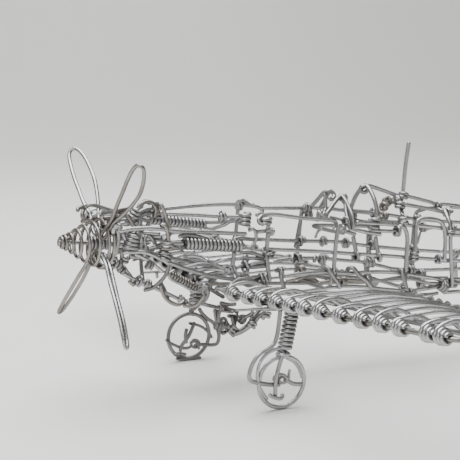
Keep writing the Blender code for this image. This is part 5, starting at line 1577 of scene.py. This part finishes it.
@dataclass
class Studio:
    """Pale floor, soft lights and the camera at the photograph's viewing angle."""

    lens: float = 104.37
    place: Point = (-354.77, -549.14, 165.18)
    yaw: float = -27.55
    tilt: float = 8.38
    roll: float = 0.42
    room: float = 0.16
    floor_size: float = 5.0
    backdrop_height: float = 3.0
    sweep_width: float = 1.4
    sweep_steps: int = 16
    lights: tuple[Softbox, ...] = (
        Softbox("overhead_softbox", (-0.1, 0.15, 1.0), (0.0, 0.0, 0.05), 1.3, 26.0),
        Softbox("left_softbox", (-1.0, -0.9, 0.55), (-0.05, 0.0, 0.06), 0.45, 3.0),
        Softbox("backdrop_softbox", (0.6, 1.4, 1.6), (0.6, 2.4, 0.6), 1.0, 16.0))

    def build(self) -> None:
        """Set up the floor, the lights, the surroundings and the camera."""
        self.build_floor()
        self.build_lights()
        self.build_camera()

    def build_floor(self) -> None:
        """A plain pale table top that sweeps up behind into a plain backdrop."""
        bpy.ops.object.select_all(action="DESELECT")
        bpy.ops.mesh.primitive_plane_add(size=self.floor_size, location=(0.0, 0.0, 0.0))
        floor = bpy.context.object
        floor.name = "studio_floor"
        bpy.ops.object.mode_set(mode="EDIT")
        mesh = bmesh.from_edit_mesh(floor.data)
        for edge in mesh.edges:
            edge.select_set(all(corner.co.y > 0.0 for corner in edge.verts))
        bmesh.update_edit_mesh(floor.data)
        bpy.ops.mesh.extrude_region_move(
            TRANSFORM_OT_translate={"value": (0.0, 0.0, self.backdrop_height)})
        bpy.ops.object.mode_set(mode="OBJECT")
        sweep = floor.modifiers.new("sweep", "BEVEL")
        sweep.width, sweep.segments = self.sweep_width, self.sweep_steps
        sweep.limit_method = "ANGLE"
        bpy.ops.object.modifier_apply(modifier="sweep")
        bpy.ops.object.shade_smooth()
        material = bpy.data.materials.new("pale_floor")
        material.use_nodes = True
        shader = material.node_tree.nodes["Principled BSDF"]
        shader.inputs["Base Color"].default_value = (0.8, 0.795, 0.785, 1.0)
        shader.inputs["Roughness"].default_value = 0.8
        floor.data.materials.append(material)

    def build_lights(self) -> None:
        """Hang the softboxes and dim the room."""
        for softbox in self.lights:
            data = bpy.data.lights.new(softbox.name, "AREA")
            data.shape = "RECTANGLE"
            data.size, data.size_y = softbox.size, softbox.size * 0.7
            data.energy = softbox.power
            light = bpy.data.objects.new(softbox.name, data)
            light.location = softbox.place
            aim = Vector(softbox.aim) - Vector(softbox.place)
            light.rotation_euler = aim.to_track_quat("-Z", "Y").to_euler()
            bpy.context.scene.collection.objects.link(light)
        world = bpy.data.worlds.new("studio_room")
        world.use_nodes = True
        background = world.node_tree.nodes["Background"]
        background.inputs["Color"].default_value = (0.5, 0.5, 0.52, 1.0)
        background.inputs["Strength"].default_value = self.room
        bpy.context.scene.world = world

    def build_camera(self) -> None:
        """The camera, turned as the photograph was taken."""
        data = bpy.data.cameras.new("photo_camera")
        data.lens, data.sensor_width = self.lens, 36.0
        data.clip_start, data.clip_end = 0.01, 20.0
        camera = bpy.data.objects.new("photo_camera", data)
        yaw, tilt = math.radians(self.yaw), math.radians(self.tilt)
        ahead = Vector((-math.sin(yaw) * math.cos(tilt), math.cos(yaw) * math.cos(tilt),
                        -math.sin(tilt)))
        right = Vector((math.cos(yaw), math.sin(yaw), 0.0))
        up = right.cross(ahead)
        turn = Matrix((right, up, -ahead)).transposed().to_4x4()
        turn = turn @ Matrix.Rotation(math.radians(self.roll), 4, "Z")
        camera.matrix_world = Matrix.Translation(Vector(self.place) * MM) @ turn
        bpy.context.scene.collection.objects.link(camera)
        bpy.context.scene.camera = camera


@dataclass
class WireAeroplane:
    """The whole sculpture, built in the order that a maker would bend it."""

    # The bright wire is a lighter copy of the satin one, painted light, and the dark wire a darker
    # copy, painted shade.
    finishes_and_shading: tuple[WireFinish, ...] = (
        WireFinish(SATIN, (0.4, 0.4, 0.405), (0.29, 0.288, 0.285), 0.16),
        WireFinish(BRIGHT, (0.5, 0.5, 0.51), (0.37, 0.37, 0.37), 0.13),
        WireFinish(WARM, (0.34, 0.325, 0.305), (0.24, 0.23, 0.215), 0.2),
        WireFinish(DARK, (0.26, 0.252, 0.252), (0.17, 0.166, 0.163), 0.22))

    def build(self) -> None:
        """Build every sub-assembly and log how many wires each took."""
        wear = wear_group()
        materials = {finish.kind: finish.build(wear) for finish in self.finishes_and_shading}
        bench = WireBench(Stance.from_frame(), materials)
        assemblies = (Propeller(bench), Engine(bench), Fuselage(bench), Canopy(bench),
                      Wing(bench, Side.PORT), Wing(bench, Side.STARBOARD), Undercarriage(bench),
                      Tail(bench))
        for assembly in assemblies:
            before = bench.made
            assembly.build()
            log.info("%s: %d wires", type(assembly).__name__, bench.made - before)


def main() -> None:
    """Build the studio and the sculpture."""
    logging.basicConfig(level=logging.INFO, format="%(message)s")
    Studio().build()
    WireAeroplane().build()


if __name__ == "__main__":
    main()
